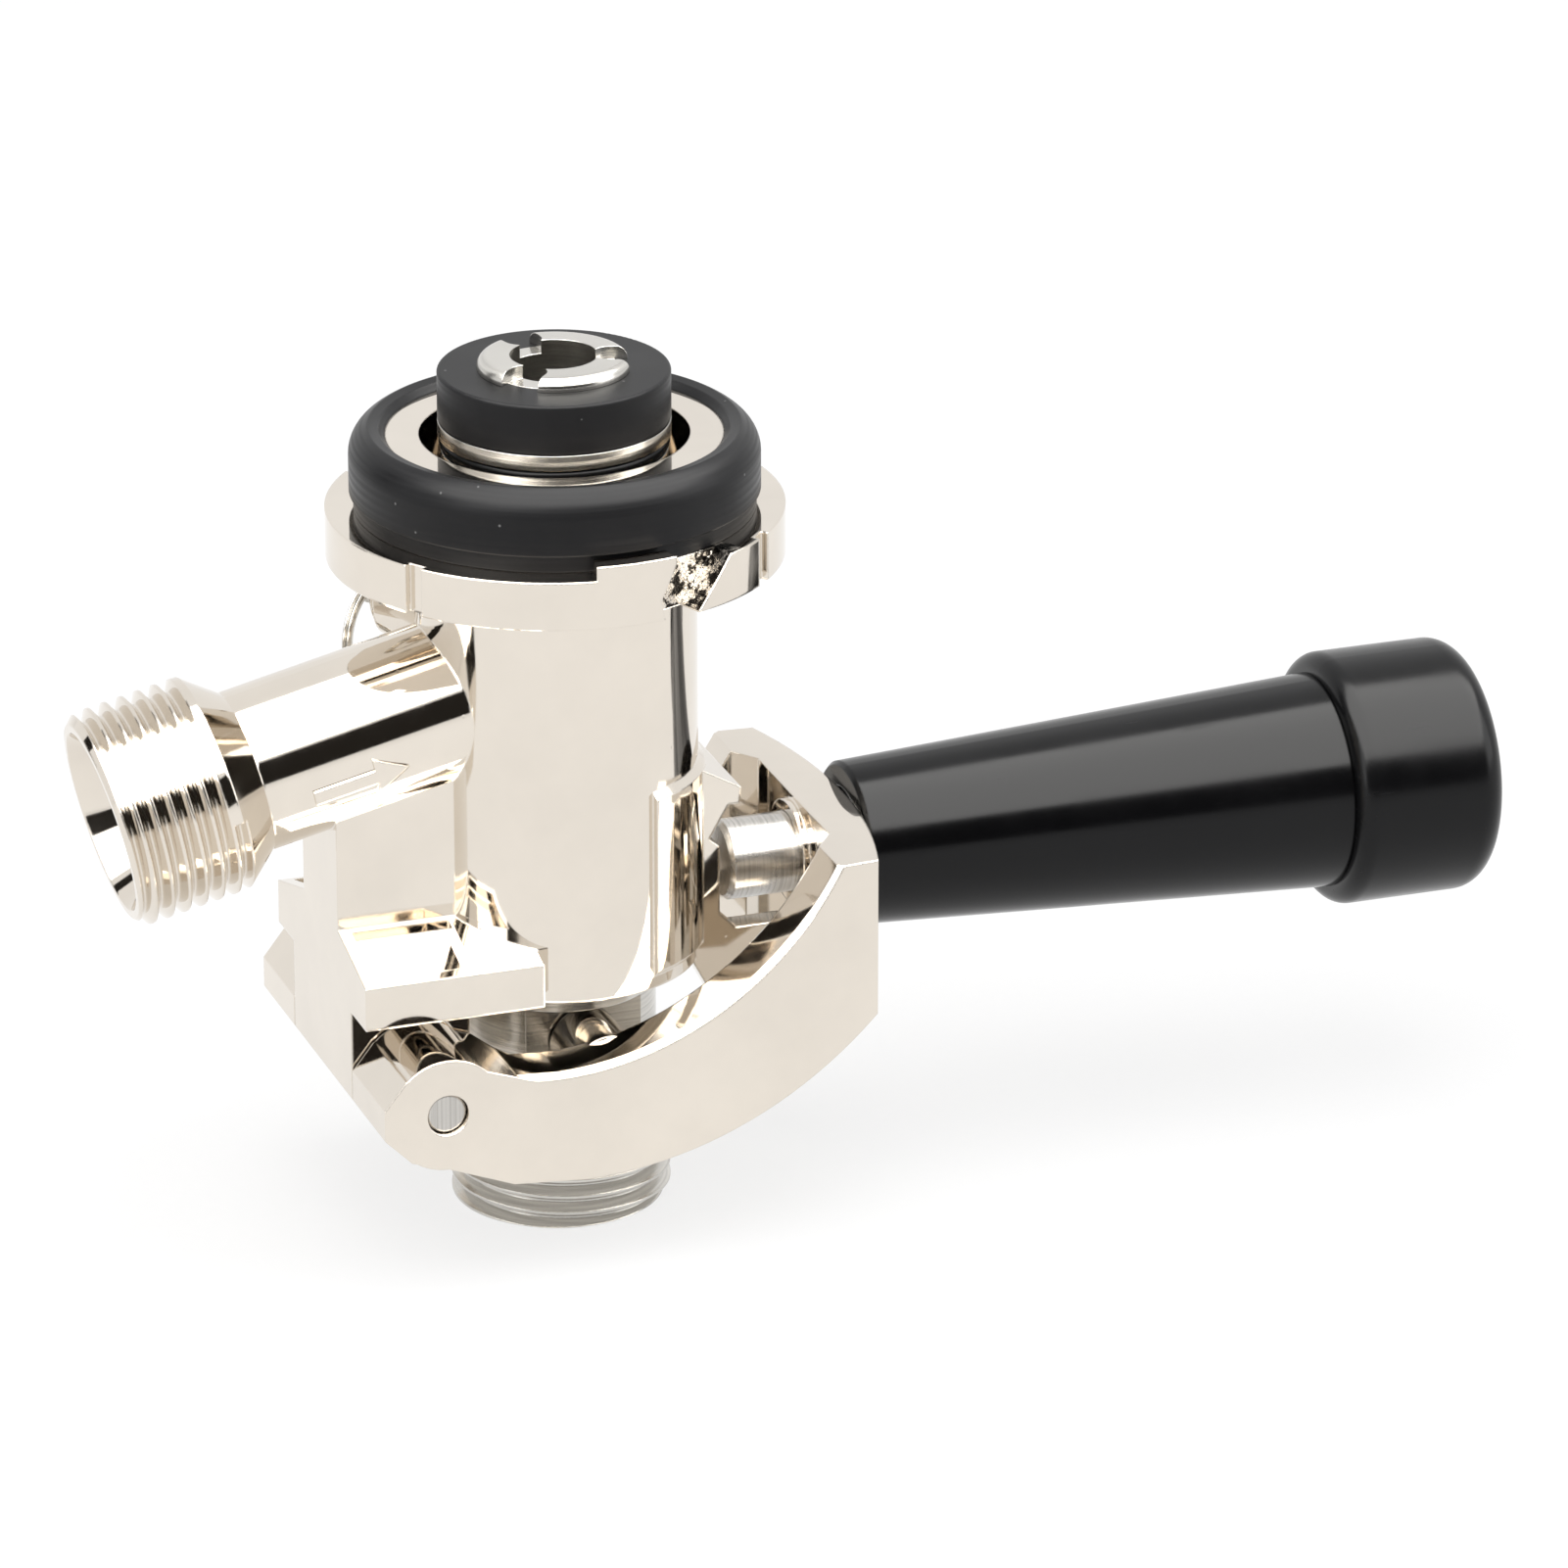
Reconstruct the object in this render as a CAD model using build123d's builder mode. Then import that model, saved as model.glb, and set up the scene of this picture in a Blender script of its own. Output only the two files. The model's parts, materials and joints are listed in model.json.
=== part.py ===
"""Keg coupler: a lever-operated bayonet coupler, keg side up, in its locked pose.

Millimetres. The origin is the centre of the beer outlet's end face. +Z runs along the main axis to
the keg side, +X along the grip, and the hinge and the gas inlet are on the -X side.
"""

import os
from math import cos, radians, sin, sqrt

from build123d import *

os.makedirs("parts", exist_ok=True)

# ---------------------------------------------------------------- fits
RUN_FIT = 0.05  # radial clearance of a shaft that turns or slides in its hole
SEAT_FIT = 0.02  # radial clearance of a piece that is seated for good
PASS_GAP = 0.35  # gap between faces that pass each other

# ---------------------------------------------------------------- barrel and flange
BARREL_BOTTOM = 26.7
BARREL_R = 14.5
BORE_R = 11.9
FLANGE_BOTTOM = 71.0
FLANGE_THICK = 5.1
FLANGE_R = 23.5
SPIGOT_HEIGHT = 7.6
SPIGOT_R = 17.25
CHAMBER_R = 13.8
CHAMBER_DEPTH = 13.2
SEAL_GROOVE_DEPTH = 1.1
SEAL_GROOVE_H = 2.2
SEAL_GROOVE_UP = 1.8
STEP_HEIGHT = 1.5  # raised stop block beside each bayonet notch
STEP_WIDTH = 2.2
STEP_ARC = 21.0
STEP_TO_NOTCH = 30.0
NOTCH_ANGLE = -68.0
NOTCH_DEPTH = 2.9
FLUTE_ANGLES = (-44.5, -145.5)
FLUTE_WIDTH = 2.0
FLUTE_DEPTH = 0.8
PAD_THICK = 0.7  # thicker wall of the barrel round the catch
PAD_HALF_ANGLE = 66.0
PAD_BOTTOM = 28.0
PAD_TOP = 48.4

# ---------------------------------------------------------------- gas inlet
GAS_DROP = 13.0  # angle below the horizontal
GAS_HEIGHT = 58.7  # where its axis meets the main axis
GAS_REACH = 50.0  # from the main axis to the mouth
THREAD_R = 11.45  # 5/8 inch BSP parallel thread, over the crests
THREAD_CHAMFER = 1.0
GAS_NECK_R = 8.5
GAS_THREAD_L = 12.0
GAS_CONE_L = 3.6
GAS_BORE_R = 5.6
GAS_MOUTH_R = 9.6
GAS_MOUTH_DEPTH = 6.5
VALVE_POCKET_R = 6.9
VALVE_POCKET_L = 10.5
VALVE_FLANGE_T = 2.0
VALVE_TUBE_R = 4.7
VALVE_WALL = 0.9
VALVE_BILL_L = 8.0
VALVE_LIP_T = 1.6
VALVE_RING_T = 1.5
VALVE_RING_BORE_R = 4.9

# ---------------------------------------------------------------- hinge, web and shelves
HINGE_X = -19.0
HINGE_Z = 19.5
HINGE_PIN_R = 2.15
HINGE_PIN_SINK = 0.4
HUB_R = 6.0
HEEL_X = -25.7  # flat back shared by hubs, lug, web and shelves
HUB_HALF_WIDTH = 21.4
LUG_HALF_WIDTH = 10.0
HUB_GAP = 0.3
WEB_HALF_WIDTH = 6.0
WEB_TOP = 52.0
SHELF_HALF_WIDTH = 15.4
SHELF_X1 = -6.6
SHELF_BOTTOM = 27.2
SHELF_RIM = 31.9
SHELF_ROOT = 34.6
POCKET_RIM = 1.3
POCKET_DEPTH = 1.3

# ---------------------------------------------------------------- catch for the lock pin
CATCH_THICK = 2.85
CATCH_WALL_X = 15.0
CATCH_SHELF_X = 22.3
CATCH_SHELF_Z = 29.7
CATCH_BOTTOM = 21.8
CATCH_TOP = 39.9
CATCH_FILLET = 1.8
BROW_X = 17.4  # roof over the lock pin that joins both cheeks
BROW_Z = 45.3
BROW_LIP = 1.8
BROW_PEAK = 48.4

# ---------------------------------------------------------------- relief valve
RELIEF_ANGLE = 132.0
RELIEF_HEIGHT = 62.9
RELIEF_BOSS_R = 4.6
RELIEF_BOSS_END = 19.2
RELIEF_BORE_R = 3.3
RELIEF_SEAT = 14.6
RELIEF_PORT_R = 1.7
RELIEF_SEAL_T = 0.6
RELIEF_DISC_R = 2.8
RELIEF_DISC_T = 0.8
RELIEF_STEM_R = 1.0
RELIEF_CAP_R = 3.9
RELIEF_CAP_T = 0.9
RELIEF_PLUG_L = 1.0
RELIEF_WIRE_R = 0.28
EYE_AT = 22.0
EYE_R = 1.6
EYE_T = 1.5
EYE_HOLE_R = 0.95
RING_WIRE_R = 0.55
RING_R = 5.0

# ---------------------------------------------------------------- yoke
ARM_INNER = 15.3
ARM_END_INNER = 13.9
ARM_END_OUTER = 19.5
END_CORNER_X = 28.1
END_CORNER_Z = 23.2
END_BULGE_X = 31.0
END_INNER_X = 25.8
END_INNER_HALF = 11.0
YOKE_TOP = 40.3
YOKE_TOP_X = 23.7
ARM_TOP_LOW = 22.3
ARM_BOTTOM_LOW = 10.1
ARM_BEVEL = 0.6  # broken outer edge along the top of each arm
PEG_R = 3.8
PEG_PLAY = 0.45
GRIP_AXIS_Z = 34.2
BOSS_R = 5.5
BOSS_T = 0.8

# ---------------------------------------------------------------- lock pin, guide tube and grip
LOCK_PIN_R = 4.25
LOCK_PIN_TIP_X = 17.5
LOCK_PIN_SHOULDER_X = 41.0
LOCK_ROD_R = 2.5
GUIDE_START_X = 27.6
GUIDE_END_X = 61.0
GUIDE_R = 5.7
GUIDE_END_T = 3.0
SPRING_WIRE_R = 0.5
SPRING_TURNS = 5
GRIP_START_X = 31.3
GRIP_R0 = 8.65
GRIP_R1 = 11.45
GRIP_END_X = 84.5
GRIP_SPIGOT_R = 10.4
GRIP_SPIGOT_L = 9.0
GRIP_HOLLOW_PLAY = 1.2
NUT_POCKET_R = 5.8
NUT_POCKET_X = 84.0
NUT_ACROSS_FLATS = 8.0
NUT_T = 4.0
WASHER_R = 5.2
WASHER_T = 1.2
CAP_R = 13.5
CAP_END_X = 101.3
CAP_WALL = 2.7
CAP_ROUND = 3.0
CAP_RIM_ROUND = 1.9

# ---------------------------------------------------------------- probe
PROBE_R = 10.0
PROBE_FLAT = 7.8
PROBE_TOP = 92.0
TIP_RISE = 1.4
SEAL_H = 5.3
SEAL_R = 11.9
SEAL_BORE_R = 6.6
TIP_R = 7.85
TIP_SLOT_W = 4.0
BEER_BORE_R = 4.5
COLLAR_T = 1.6
COLLAR_GAP = 1.5
COLLAR_GROOVE_R = 10.3
LOWER_COLLAR_R = 11.6
LOWER_COLLAR_T = 1.0
STEM_R = 8.0
PISTON_TOP = 49.0
PISTON_BOTTOM = 36.0
PISTON_GROOVE_Z = 42.5
PISTON_GROOVE_R = 10.3
PISTON_GROOVE_H = 2.2
OUTLET_THREAD_L = 10.0
BALL_CHAMBER_R = 6.6
BALL_R = 5.2
BALL_LIFT = 3.0
RETAINER_Z = 1.0
RETAINER_T = 1.5
RETAINER_BORE_R = 4.0

# ---------------------------------------------------------------- rubber seal of the spigot
RING_SEAL_R = 21.0
RING_SEAL_SIDE = 5.6
RING_SEAL_LIP_R = 19.0
RING_SEAL_RISE = 0.9
RING_SEAL_WAIST = 0.45  # the seal's foot draws in this far between the stop blocks
WAIST_RISE = 0.3  # the foot ends this far above the stop blocks

# ---------------------------------------------------------------- places worked out from the above
FLANGE_TOP = FLANGE_BOTTOM + FLANGE_THICK
SPIGOT_TOP = FLANGE_TOP + SPIGOT_HEIGHT
CHAMBER_FLOOR = SPIGOT_TOP - CHAMBER_DEPTH
STEP_INNER_R = FLANGE_R - STEP_WIDTH
SEAL_GROOVE_R = SPIGOT_R - SEAL_GROOVE_DEPTH
SEAL_GROOVE_Z = FLANGE_TOP + SEAL_GROOVE_UP
GAS_DIR = Vector(-cos(radians(GAS_DROP)), 0, -sin(radians(GAS_DROP)))
GAS_ORIGIN = Vector(0, 0, GAS_HEIGHT)
GAS_AXIS = Axis(GAS_ORIGIN, GAS_DIR)
GAS_SECTION = Plane(GAS_ORIGIN, x_dir=GAS_DIR, z_dir=(0, 1, 0))
VALVE_SHOULDER = GAS_REACH - GAS_MOUTH_DEPTH - VALVE_POCKET_L
RELIEF_DIR = Vector(cos(radians(RELIEF_ANGLE)), sin(radians(RELIEF_ANGLE)), 0)
RELIEF_ORIGIN = Vector(0, 0, RELIEF_HEIGHT)
RELIEF_AXIS = Axis(RELIEF_ORIGIN, RELIEF_DIR)
RELIEF_SECTION = Plane(RELIEF_ORIGIN, x_dir=RELIEF_DIR, z_dir=(0, 0, 1))
RELIEF_SIDE = Vector(sin(radians(RELIEF_ANGLE)), -cos(radians(RELIEF_ANGLE)), 0)
HANDLE_ORIGIN = Vector(0, 0, GRIP_AXIS_Z)
HANDLE_AXIS = Axis(HANDLE_ORIGIN, (1, 0, 0))
HANDLE_SECTION = Plane(HANDLE_ORIGIN, x_dir=(1, 0, 0), z_dir=(0, -1, 0))
CATCH_IN = LOCK_PIN_R + 0.5
GUIDE_BORE_R = LOCK_PIN_R + RUN_FIT
SEAL_TOP = PROBE_TOP - TIP_RISE
COLLAR_BOTTOM = SEAL_TOP - SEAL_H - COLLAR_T
LOWER_COLLAR_TOP = COLLAR_BOTTOM - COLLAR_GAP
BALL_REST_Z = RETAINER_Z + RETAINER_T + sqrt(BALL_R**2 - RETAINER_BORE_R**2) + RUN_FIT
BALL_SEAT_Z = BALL_REST_Z + BALL_LIFT + sqrt(BALL_R**2 - BEER_BORE_R**2) + RUN_FIT


def radial_section(angle):
    """The plane through the main axis whose local x points outwards at this angle."""
    a = radians(angle)
    return Plane((0, 0, 0), x_dir=(cos(a), sin(a), 0), z_dir=(sin(a), -cos(a), 0))


def rim_plane(angle, radius):
    """The plane that faces outwards at this angle, with local x along the rim and local y up."""
    a = radians(angle)
    out = Vector(cos(a), sin(a), 0)
    return Plane(out * radius, x_dir=(-sin(a), cos(a), 0), z_dir=out)


# side outline of the heel that the lug and both hubs share
HEEL = (
    (HINGE_X, HINGE_Z - HUB_R),
    (HEEL_X + 2.8, HINGE_Z - HUB_R + 1.2),
    (HEEL_X, HINGE_Z - 2.0),
    (HEEL_X, HINGE_Z + 1.3),
    (HEEL_X + 2.3, HINGE_Z + 4.2),
    (HINGE_X, HINGE_Z + HUB_R),
)


# ================================================================ body casting
with BuildPart() as body_casting:
    with BuildSketch(Plane.XZ):
        with BuildLine():
            Polyline(
                (0, BARREL_BOTTOM),
                (BARREL_R, BARREL_BOTTOM),
                (BARREL_R, FLANGE_BOTTOM),
                (FLANGE_R, FLANGE_BOTTOM),
                (FLANGE_R, FLANGE_TOP + STEP_HEIGHT),
                (STEP_INNER_R, FLANGE_TOP + STEP_HEIGHT),
                (STEP_INNER_R, FLANGE_TOP),
                (SPIGOT_R, FLANGE_TOP),
                (SPIGOT_R, SEAL_GROOVE_Z),
                (SEAL_GROOVE_R, SEAL_GROOVE_Z),
                (SEAL_GROOVE_R, SEAL_GROOVE_Z + SEAL_GROOVE_H),
                (SPIGOT_R, SEAL_GROOVE_Z + SEAL_GROOVE_H),
                (SPIGOT_R, SPIGOT_TOP),
                (0, SPIGOT_TOP),
                close=True,
            )
        make_face()
    revolve(axis=Axis.Z)

    # the raised rim stays only as two stop blocks; notches and flutes of the flange, on both sides
    for turn in (0, 180):
        with BuildSketch(radial_section(NOTCH_ANGLE - STEP_TO_NOTCH + STEP_ARC + turn)):
            with Locations((FLANGE_R, FLANGE_TOP + STEP_HEIGHT)):
                Rectangle(2 * (FLANGE_R - STEP_INNER_R), 2 * STEP_HEIGHT)
        revolve(axis=Axis.Z, revolution_arc=180 - STEP_ARC, mode=Mode.SUBTRACT)
        with BuildSketch(rim_plane(NOTCH_ANGLE + turn, FLANGE_R - NOTCH_DEPTH)):
            with BuildLine():
                Polyline(
                    (-2.5, FLANGE_TOP + 3),
                    (3.8 + 2.4, FLANGE_TOP + 3),
                    (-1.9, FLANGE_BOTTOM - 1),
                    (-4.8, FLANGE_BOTTOM - 1),
                    (-5.4, FLANGE_BOTTOM + 2.2),
                    close=True,
                )
            make_face()
        extrude(amount=2 * NOTCH_DEPTH, mode=Mode.SUBTRACT)
        for angle in FLUTE_ANGLES:
            with BuildSketch(rim_plane(angle + turn, FLANGE_R - FLUTE_DEPTH)):
                with Locations((0, FLANGE_BOTTOM + FLANGE_THICK / 2)):
                    Rectangle(FLUTE_WIDTH, 2 * FLANGE_THICK)
            extrude(amount=2 * FLUTE_DEPTH, mode=Mode.SUBTRACT)

    # gas neck with its conical shoulder and threaded end
    with BuildSketch(GAS_SECTION):
        with BuildLine():
            Polyline(
                (0, 0),
                (0, GAS_NECK_R),
                (GAS_REACH - GAS_THREAD_L - GAS_CONE_L, GAS_NECK_R),
                (GAS_REACH - GAS_THREAD_L, THREAD_R),
                (GAS_REACH - THREAD_CHAMFER, THREAD_R),
                (GAS_REACH, THREAD_R - THREAD_CHAMFER),
                (GAS_REACH, 0),
                close=True,
            )
        make_face()
    revolve(axis=GAS_AXIS)

    # web under the neck, and the two sloping shelves beside it
    with BuildSketch(Plane.XZ):
        with BuildLine():
            Polyline(
                (HEEL_X, SHELF_BOTTOM),
                (-BARREL_R / 2, SHELF_BOTTOM),
                (-BARREL_R / 2, WEB_TOP),
                (HEEL_X, WEB_TOP),
                close=True,
            )
        make_face()
    extrude(amount=WEB_HALF_WIDTH, both=True)
    with BuildSketch(Plane.YZ.offset(HEEL_X)):
        with BuildLine():
            Polyline(
                (-SHELF_HALF_WIDTH, SHELF_BOTTOM),
                (-SHELF_HALF_WIDTH, SHELF_RIM),
                (-WEB_HALF_WIDTH, SHELF_ROOT),
                (WEB_HALF_WIDTH, SHELF_ROOT),
                (SHELF_HALF_WIDTH, SHELF_RIM),
                (SHELF_HALF_WIDTH, SHELF_BOTTOM),
                close=True,
            )
        make_face()
    extrude(amount=SHELF_X1 - HEEL_X)
    with BuildSketch(Plane.YZ.offset(HEEL_X + POCKET_RIM)):
        for side in (-1, 1):
            with BuildLine():
                Polyline(
                    (side * (WEB_HALF_WIDTH + 0.4), SHELF_ROOT + 1),
                    (side * (WEB_HALF_WIDTH + 0.4), SHELF_ROOT - POCKET_DEPTH),
                    (side * (SHELF_HALF_WIDTH - POCKET_RIM), SHELF_RIM - POCKET_DEPTH + 0.4),
                    (side * (SHELF_HALF_WIDTH - POCKET_RIM), SHELF_ROOT + 1),
                    close=True,
                )
            make_face()
    extrude(amount=-BARREL_R + 0.5 - HEEL_X - POCKET_RIM, mode=Mode.SUBTRACT)

    # hinge lug between the hubs
    with BuildSketch(Plane.XZ):
        with Locations((HINGE_X, HINGE_Z)):
            Circle(HUB_R)
        with BuildLine():
            Polyline(*HEEL, close=True)
        make_face()
        with BuildLine():
            Polyline(
                (HEEL_X, HINGE_Z),
                (HEEL_X, SHELF_BOTTOM + 1),
                (HINGE_X + HUB_R, SHELF_BOTTOM + 1),
                (HINGE_X + HUB_R, HINGE_Z),
                close=True,
            )
        make_face()
    extrude(amount=LUG_HALF_WIDTH, both=True)

    # forked catch for the lock pin
    for side in (-1, 1):
        with BuildSketch(Plane.XZ.offset(-side * (CATCH_IN + CATCH_THICK / 2))):
            with BuildLine():
                Polyline(
                    (BARREL_R - 2.6, CATCH_TOP + 0.5),
                    (CATCH_WALL_X - 1.1, CATCH_TOP),
                    (CATCH_WALL_X, CATCH_TOP - 0.9),
                    (CATCH_WALL_X, CATCH_SHELF_Z + CATCH_FILLET),
                    (CATCH_WALL_X + CATCH_FILLET, CATCH_SHELF_Z),
                    (CATCH_SHELF_X, CATCH_SHELF_Z),
                    (CATCH_SHELF_X, CATCH_BOTTOM + 2),
                    (CATCH_SHELF_X - 3, CATCH_BOTTOM),
                    (BARREL_R, CATCH_BOTTOM),
                    (BARREL_R - 2.6, BARREL_BOTTOM),
                    close=True,
                )
            make_face()
        extrude(amount=CATCH_THICK / 2, both=True)
    with BuildSketch(Plane.XZ):
        with BuildLine():
            Polyline(
                (BARREL_R - 2.6, BROW_PEAK),
                (BROW_X, BROW_Z),
                (BROW_X - 0.2, BROW_Z - BROW_LIP),
                (CATCH_WALL_X + 1.0, BROW_Z - BROW_LIP),
                (CATCH_WALL_X - 1.1, CATCH_TOP),
                (BARREL_R - 2.6, CATCH_TOP),
                close=True,
            )
        make_face()
    extrude(amount=CATCH_IN + CATCH_THICK, both=True)

    # the barrel's wall is thicker round the catch
    with BuildSketch(radial_section(-PAD_HALF_ANGLE)):
        with BuildLine():
            Polyline(
                (BARREL_R - 1, PAD_BOTTOM),
                (BARREL_R, PAD_BOTTOM),
                (BARREL_R + PAD_THICK, PAD_BOTTOM + PAD_THICK),
                (BARREL_R + PAD_THICK, PAD_TOP - PAD_THICK),
                (BARREL_R, PAD_TOP),
                (BARREL_R - 1, PAD_TOP),
                close=True,
            )
        make_face()
    revolve(axis=Axis.Z, revolution_arc=2 * PAD_HALF_ANGLE)

    # relief boss
    with BuildSketch(Plane(RELIEF_ORIGIN + RELIEF_DIR * (BORE_R + 0.6), z_dir=RELIEF_DIR)):
        Circle(RELIEF_BOSS_R)
    extrude(amount=RELIEF_BOSS_END - BORE_R - 0.6)

    # main bore and chamber
    with BuildSketch(Plane.XZ):
        with BuildLine():
            Polyline(
                (0, BARREL_BOTTOM - 1),
                (BORE_R, BARREL_BOTTOM - 1),
                (BORE_R, CHAMBER_FLOOR - CHAMBER_R + BORE_R),
                (CHAMBER_R, CHAMBER_FLOOR),
                (CHAMBER_R, SPIGOT_TOP + 1),
                (0, SPIGOT_TOP + 1),
                close=True,
            )
        make_face()
    revolve(axis=Axis.Z, mode=Mode.SUBTRACT)

    # gas passage
    with BuildSketch(GAS_SECTION):
        with BuildLine():
            Polyline(
                (0, 0),
                (0, GAS_BORE_R),
                (VALVE_SHOULDER, GAS_BORE_R),
                (VALVE_SHOULDER, VALVE_POCKET_R),
                (GAS_REACH - GAS_MOUTH_DEPTH, VALVE_POCKET_R),
                (GAS_REACH, GAS_MOUTH_R),
                (GAS_REACH + 1, GAS_MOUTH_R),
                (GAS_REACH + 1, 0),
                close=True,
            )
        make_face()
    revolve(axis=GAS_AXIS, mode=Mode.SUBTRACT)

    # relief port and the bore of its boss
    with BuildSketch(RELIEF_SECTION):
        with BuildLine():
            Polyline(
                (BORE_R - 2, 0),
                (BORE_R - 2, RELIEF_PORT_R),
                (RELIEF_SEAT, RELIEF_PORT_R),
                (RELIEF_SEAT, RELIEF_BORE_R),
                (RELIEF_BOSS_END + 1, RELIEF_BORE_R),
                (RELIEF_BOSS_END + 1, 0),
                close=True,
            )
        make_face()
    revolve(axis=RELIEF_AXIS, mode=Mode.SUBTRACT)

    # hinge pin hole
    with BuildSketch(Plane.XZ):
        with Locations((HINGE_X, HINGE_Z)):
            Circle(HINGE_PIN_R + SEAT_FIT)
    extrude(amount=LUG_HALF_WIDTH + 1, both=True, mode=Mode.SUBTRACT)
body_casting.part.label = "body_casting"
export_step(body_casting.part, "parts/body_casting.step")


# ================================================================ seal of the spigot
with BuildPart() as body_seal:
    with BuildSketch(Plane.XZ):
        with BuildLine():
            base = FLANGE_TOP + SEAT_FIT
            shoulder = base + RING_SEAL_SIDE
            crown = SPIGOT_TOP + RING_SEAL_RISE
            foot_top = FLANGE_TOP + STEP_HEIGHT + WAIST_RISE
            Polyline(
                (SPIGOT_R + SEAT_FIT, SPIGOT_TOP),
                (SPIGOT_R + SEAT_FIT, SEAL_GROOVE_Z + SEAL_GROOVE_H - SEAT_FIT),
                (SEAL_GROOVE_R + SEAT_FIT, SEAL_GROOVE_Z + SEAL_GROOVE_H - SEAT_FIT),
                (SEAL_GROOVE_R + SEAT_FIT, SEAL_GROOVE_Z + SEAT_FIT),
                (SPIGOT_R + SEAT_FIT, SEAL_GROOVE_Z + SEAT_FIT),
                (SPIGOT_R + SEAT_FIT, base),
                (RING_SEAL_R - RING_SEAL_WAIST, base),
                (RING_SEAL_R - RING_SEAL_WAIST, foot_top),
                (RING_SEAL_R, foot_top),
                (RING_SEAL_R, shoulder),
            )
            ThreePointArc(
                (RING_SEAL_R, shoulder),
                (RING_SEAL_R - 0.6, shoulder + 0.62 * (crown - shoulder)),
                (RING_SEAL_LIP_R, crown),
            )
            Polyline((RING_SEAL_LIP_R, crown), (SPIGOT_R + 0.7, crown - 0.2), (SPIGOT_R + SEAT_FIT, SPIGOT_TOP))
        make_face()
    revolve(axis=Axis.Z)
body_seal.part.label = "body_seal"
export_step(body_seal.part, "parts/body_seal.step")


# ================================================================ gas check valve
with BuildPart() as gas_check_valve:
    lip = VALVE_SHOULDER - VALVE_BILL_L
    with BuildSketch(Plane(GAS_ORIGIN + GAS_DIR * (VALVE_SHOULDER + SEAT_FIT), z_dir=GAS_DIR)):
        Circle(VALVE_POCKET_R - SEAT_FIT)
    extrude(amount=VALVE_FLANGE_T)
    with BuildSketch(Plane(GAS_ORIGIN + GAS_DIR * lip, x_dir=(0, 1, 0), z_dir=GAS_DIR)):
        RectangleRounded(2 * VALVE_TUBE_R, VALVE_LIP_T, VALVE_LIP_T * 0.45)
    with BuildSketch(Plane(GAS_ORIGIN + GAS_DIR * (VALVE_SHOULDER + 0.1), x_dir=(0, 1, 0), z_dir=GAS_DIR)):
        Circle(VALVE_TUBE_R)
    loft()
    with BuildSketch(Plane(GAS_ORIGIN + GAS_DIR * (lip - 0.1), x_dir=(0, 1, 0), z_dir=GAS_DIR)):
        Rectangle(2 * (VALVE_TUBE_R - VALVE_WALL), 0.3)
    with BuildSketch(
        Plane(GAS_ORIGIN + GAS_DIR * (VALVE_SHOULDER + VALVE_FLANGE_T + 1), x_dir=(0, 1, 0), z_dir=GAS_DIR)
    ):
        Circle(VALVE_TUBE_R - VALVE_WALL)
    loft(mode=Mode.SUBTRACT)
gas_check_valve.part.label = "gas_check_valve"
export_step(gas_check_valve.part, "parts/gas_check_valve.step")

with BuildPart() as gas_valve_ring:
    ring_at = VALVE_SHOULDER + VALVE_FLANGE_T + 2 * SEAT_FIT
    with BuildSketch(Plane(GAS_ORIGIN + GAS_DIR * ring_at, z_dir=GAS_DIR)):
        Circle(VALVE_POCKET_R - SEAT_FIT)
        Circle(VALVE_RING_BORE_R, mode=Mode.SUBTRACT)
    extrude(amount=VALVE_RING_T)
gas_valve_ring.part.label = "gas_valve_ring"
export_step(gas_valve_ring.part, "parts/gas_valve_ring.step")


# ================================================================ hinge pin
with BuildPart() as hinge_pin:
    with BuildSketch(Plane.XZ):
        with Locations((HINGE_X, HINGE_Z)):
            Circle(HINGE_PIN_R)
    extrude(amount=HUB_HALF_WIDTH - HINGE_PIN_SINK, both=True)
    chamfer(hinge_pin.edges().filter_by(GeomType.CIRCLE), 0.25)
hinge_pin.part.label = "hinge_pin"
export_step(hinge_pin.part, "parts/hinge_pin.step")


# ================================================================ relief valve
with BuildPart() as relief_cap:
    with BuildSketch(RELIEF_SECTION):
        with BuildLine():
            Polyline(
                (RELIEF_BOSS_END - RELIEF_PLUG_L, RELIEF_STEM_R + RUN_FIT),
                (RELIEF_BOSS_END - RELIEF_PLUG_L, RELIEF_BORE_R - SEAT_FIT),
                (RELIEF_BOSS_END + SEAT_FIT, RELIEF_BORE_R - SEAT_FIT),
                (RELIEF_BOSS_END + SEAT_FIT, RELIEF_CAP_R),
                (RELIEF_BOSS_END + RELIEF_CAP_T - 0.3, RELIEF_CAP_R),
                (RELIEF_BOSS_END + RELIEF_CAP_T, RELIEF_CAP_R - 0.3),
                (RELIEF_BOSS_END + RELIEF_CAP_T, RELIEF_STEM_R + RUN_FIT),
                close=True,
            )
        make_face()
    revolve(axis=RELIEF_AXIS)
relief_cap.part.label = "relief_cap"
export_step(relief_cap.part, "parts/relief_cap.step")

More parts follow.
